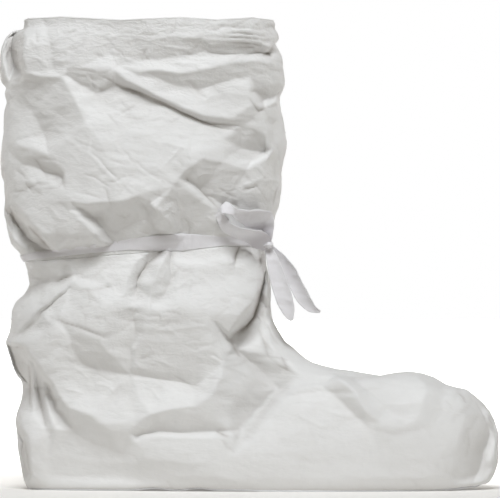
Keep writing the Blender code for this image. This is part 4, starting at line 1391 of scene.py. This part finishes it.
@dataclass
class FoldedTape(Tape):
    """A strip of tape pressed into flat pieces between folds across it."""

    fold_reach: float = 1.2

    def _grid(self) -> np.ndarray:
        """Return points on straight lines between the two edges, which run straight from fold to fold."""
        table = np.array(self.route, dtype=float).reshape(-1, 2, 3)
        ends = np.stack([to_x(table[..., 0]), table[..., 2] * MM, table[..., 1] * STEP], axis=-1)
        steps = np.linalg.norm(np.diff(ends, axis=0), axis=2).mean(axis=1)
        run = np.concatenate([[0.0], np.cumsum(steps)])
        at = np.linspace(0.0, run[-1], self.count)
        edges = np.stack([[np.interp(at, run, ends[:, e, k]) for k in range(3)] for e in range(2)])
        edges = blur(edges.transpose(2, 0, 1), self.fold_reach, axes=(0,))
        share = np.linspace(0.0, 1.0, self.columns)[None, :, None]
        return edges[:, :1] * (1 - share) + edges[:, 1:] * share


@dataclass
class TieBand:
    """The tape pulled tight round the ankle."""

    form: UpperForm
    finish: bpy.types.Material
    clearance: float = 0.9 * MM
    columns: int = 13
    reach: float = 2.2
    roll: float = 0.25
    roll_share: float = 0.6
    crumple: float = 0.3 * MM

    def make(self) -> bpy.types.Object:
        """Add the band: a closed strip on the upper's form, half rolled where it is narrow."""
        halves = [self._half(Side.NEAR, NEAR_BAND), self._half(Side.FAR, FAR_BAND)[::-1]]
        points = np.concatenate([halves[0], halves[1][1:-1]])
        faces = grid_faces(len(points) + 1, points.shape[1]) % (len(points) * points.shape[1])
        piece = add_mesh("tie_band", points, faces)
        thicken(piece, TAPE_THICKNESS, offset=0.0)
        return dress(piece, self.finish, "tie_band")

    def _half(self, side: Side, places: Sequence[BandPlace]) -> np.ndarray:
        """Return the strip on one side, from the front seam to the back seam."""
        table = np.array(places, dtype=float)
        form = self.form
        rows = np.abs(form.levels - form.tie_level) < self.reach
        grid = form.plain[side][rows]
        middle = grid[len(grid) // 2]
        along = (middle[:, 0] - CAD_LOW.x) / STEP
        up = np.interp(along, table[:, 0], table[:, 1])
        width = np.interp(along, table[:, 0], table[:, 2])
        share = np.linspace(-1.0, 1.0, self.columns)
        heights = (up[:, None] + 0.5 * width[:, None] * share[None, :]) * STEP
        strip = np.zeros((len(along), len(share), 3))
        for column in range(len(along)):
            line = grid[::-1, column]
            for k in range(3):
                strip[column, :, k] = np.interp(heights[column], line[:, 2], line[:, k])
        out = middle - middle.mean(axis=0)
        out[:, 2] = 0.0
        out = unit(out)
        swell = (1 - share**2) * self.roll
        noise = FacetNoise(BAND_SEED, (16, 8, 4)).at(strip)
        rolled = swell[None, :] * width[:, None] * STEP * self.roll_share
        lift = self.clearance + rolled + self.crumple * noise
        return strip + out[:, None, :] * lift[..., None]


@dataclass
class Knot:
    """The bow's knot: a pleated lump of tape, fuller round its middle."""

    finish: bpy.types.Material
    rings: int = 40
    sides: int = 64
    pole: float = 0.02
    forward: float = 2.5 * MM
    flatness: float = 0.7
    girth: float = 0.74
    pleats: float = 4.5
    pleat_depth: float = 0.22
    pleat_twist: float = 0.8
    waist_swell: float = 0.10
    waist_reach: float = 0.45
    axis: tuple = (0.55, -0.83, 0.0)

    def make(self) -> bpy.types.Object:
        """Add the knot where the frame has it."""
        low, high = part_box("tie_knot")
        centre = (np.array(low) + np.array(high)) / 2 - np.array([0.0, self.forward, 0.0])
        half = (np.array(high) - np.array(low)) / 2
        polar, around = np.meshgrid(np.linspace(self.pole, math.pi - self.pole, self.rings),
                                    np.linspace(0, 2 * math.pi, self.sides, endpoint=False), indexing="ij")
        wave = np.abs(np.sin(self.pleats * around + self.pleat_twist * polar))
        pleat = self.girth - self.pleat_depth * wave * np.sin(polar)
        waist = 1 + self.waist_swell * np.exp(-(((polar - math.pi / 2) / self.waist_reach) ** 2))
        axis = unit(np.array(self.axis))
        out = np.array([axis[1], -axis[0], 0.0])
        rise = np.array([0.0, 0.0, 1.0])
        size = pleat * waist
        points = (centre + axis * (np.cos(polar) * half[1])[..., None]
                  + out * (np.sin(polar) * np.cos(around) * size * half[0])[..., None]
                  + rise * (np.sin(polar) * np.sin(around) * size * self.flatness * half[2])[..., None])
        piece = add_mesh("tie_knot", points, grid_faces(self.rings, self.sides, closed=True), caps=self.sides)
        return dress(piece, self.finish, "tie_knot")


@dataclass
class Studio:
    """Floor, soft light and camera."""

    lens: float = 600.0
    sensor: float = 36.0
    picture_width: int = 500
    elevation: float = 1.0
    middle: tuple = (250.0, 240.0)
    ambient: float = 0.12
    wall: tuple = (1.0, 0.89, 0.74, 1.0)
    horizon: tuple = (0.06, 0.6)
    behind: tuple = (0.0, 0.4)
    front_share: float = 0.05
    lamp_tint: tuple = (0.94, 0.97, 1.0)
    floor_half_width: float = 6.0
    floor_ends: tuple = (-6.0, 5.2)

    def make(self) -> None:
        """Add the floor, the light and the camera."""
        scene = bpy.context.scene
        scene.view_settings.view_transform = "Standard"
        wide, (near, far) = self.floor_half_width, self.floor_ends
        corners = np.array([[-wide, near, 0], [wide, near, 0], [wide, far, 0], [-wide, far, 0]])
        floor = add_mesh("floor", corners, np.array([[0, 1, 2, 3]]))
        floor.data.materials.append(FLOOR_FINISH.build())
        self._world(scene)
        for panel in PANELS:
            self._panel(panel)
        self._camera(scene)

    def _world(self, scene: bpy.types.Scene) -> None:
        """Give the studio dim walls and a white horizon."""
        world = bpy.data.worlds.new("studio")
        scene.world = world
        world.use_nodes = True
        graph = Graph(world.node_tree)
        way = graph.value("ShaderNodeTexCoord", output="Generated")
        parts = graph.node("ShaderNodeSeparateXYZ", None, {0: way})
        depth, height = (Value(graph, parts.outputs[i]) for i in (1, 2))
        ramp = {"interpolation_type": "SMOOTHSTEP"}
        low = graph.value("ShaderNodeMapRange", ramp, {
            "Value": height, "From Min": self.horizon[0], "From Max": self.horizon[1],
            "To Min": 1.0, "To Max": 0.0})
        low = low * graph.value("ShaderNodeMapRange", ramp, {
            "Value": depth, "From Min": self.behind[0], "From Max": self.behind[1],
            "To Min": self.front_share, "To Max": 1.0})
        share = self.ambient + (1.0 - self.ambient) * low
        colour = graph.blend(low, self.wall, (1.0, 1.0, 1.0, 1.0))
        light = graph.node("ShaderNodeBackground", None, {"Color": colour, "Strength": share})
        graph.node("ShaderNodeOutputWorld", None, {"Surface": Value(graph, light.outputs[0])})

    def _panel(self, panel: LightPanel) -> None:
        """Add a soft light panel that faces a point."""
        light = bpy.data.lights.new(panel.name, "AREA")
        light.shape = "RECTANGLE"
        light.size, light.size_y = panel.size
        light.energy = panel.power
        light.spread = math.radians(panel.spread)
        light.color = self.lamp_tint
        lamp = bpy.data.objects.new(panel.name, light)
        lamp.location = panel.place
        lamp.rotation_euler = (Vector(panel.aim) - Vector(panel.place)).to_track_quat("-Z", "Y").to_euler()
        bpy.context.scene.collection.objects.link(lamp)

    def _camera(self, scene: bpy.types.Scene) -> None:
        """Set the camera square to the near side, a little above it."""
        data = bpy.data.cameras.new("camera")
        data.lens = self.lens
        data.sensor_width = self.sensor
        camera = bpy.data.objects.new("camera", data)
        target = Vector((to_x(self.middle[0]), 0.0, self.middle[1] * STEP))
        distance = self.lens / self.sensor * self.picture_width * STEP
        rise = math.radians(self.elevation)
        back = Vector((0.0, -math.cos(rise), math.sin(rise)))
        camera.location = target + back * distance
        camera.rotation_euler = (-back).to_track_quat("-Z", "Y").to_euler()
        scene.collection.objects.link(camera)
        scene.camera = camera


@dataclass
class BootCover:
    """The whole cover."""

    form: UpperForm = field(default_factory=UpperForm)

    def make(self) -> list[bpy.types.Object]:
        """Add every piece."""
        sheet, tape, thread = UPPER_FINISH.build(), TAPE_FINISH.build(), THREAD_FINISH.build()
        pieces = self._tie(tape)
        pieces += UpperSheet(self.form, sheet).make()
        pieces += self._seams(sheet, thread)
        pieces.append(SolePanel(self.form, SOLE_FINISH.build()).make())
        return pieces

    def _tie(self, tape: bpy.types.Material) -> list[bpy.types.Object]:
        """Add the band and the bow."""
        away, level = (0.1, -0.3, -0.95), (1.0, 0.0, 0.0)
        # The loops get painted shade near the knot.
        loop = {"held": "folded", "flat": (0.015, 0.115), "pleats": 0.6}
        parts = (
            FoldedTape("tie_loop_near", NEAR_LOOP, level, tape, crumple=0.9 * MM, **loop),
            Tape("tie_loop_far", FAR_LOOP, away, tape, crumple=1.1 * MM, **loop),
            Tape("tie_tail_near", NEAR_TAIL, level, tape, "hung", (0.015, 0.066), 0.00072),
            Tape("tie_tail_far", FAR_TAIL, level, tape, "hung", (0.015, 0.072), 0.00070),
            Knot(tape),
            TieBand(self.form, tape),
        )
        return [part.make() for part in parts]

    def _seams(self, sheet: bpy.types.Material, thread: bpy.types.Material) -> list[bpy.types.Object]:
        """Add the sewn edges: front, back, collar and sole."""
        near, far = self.form.points[Side.NEAR], self.form.points[Side.FAR]
        ridges = []
        for name, column, inner in (("front_seam", 0, 6), ("back_seam", -1, -7)):
            line = near[:, column]
            out = line - near[:, inner]
            out[:, 1] = 0.0
            ridges.append(Ridge(name, line - 0.4 * MM * unit(out), out, thread, "upper", "upper_sheet"))
        # Each row's last number is the painted shadow along the seam's near side.
        for name, row, inner, node, slot, finish, swell, painted_shadow in (
                ("collar_edge", 0, 4, "upper", "upper_sheet", sheet, 0.0, 0.0),
                ("sole_seam", -1, -5, "sole", "sole_sheet", thread, 0.38, 0.9)):
            loop = np.concatenate([near[row], far[row][::-1]])
            inside = np.concatenate([near[inner], far[inner][::-1]])
            ridges.append(Ridge(name, loop, loop - inside, finish, node, slot, pitch=3.0 * MM, swell=swell,
                                looped=True, painted_shadow=painted_shadow))
        return [ridge.make() for ridge in ridges]


def main() -> None:
    """Build the scene."""
    logging.basicConfig(level=logging.INFO)
    Studio().make()
    for piece in BootCover().make():
        LOG.info("%s: %d points", piece.name, len(piece.data.vertices))
    bpy.context.view_layer.update()


if __name__ == "__main__":
    main()
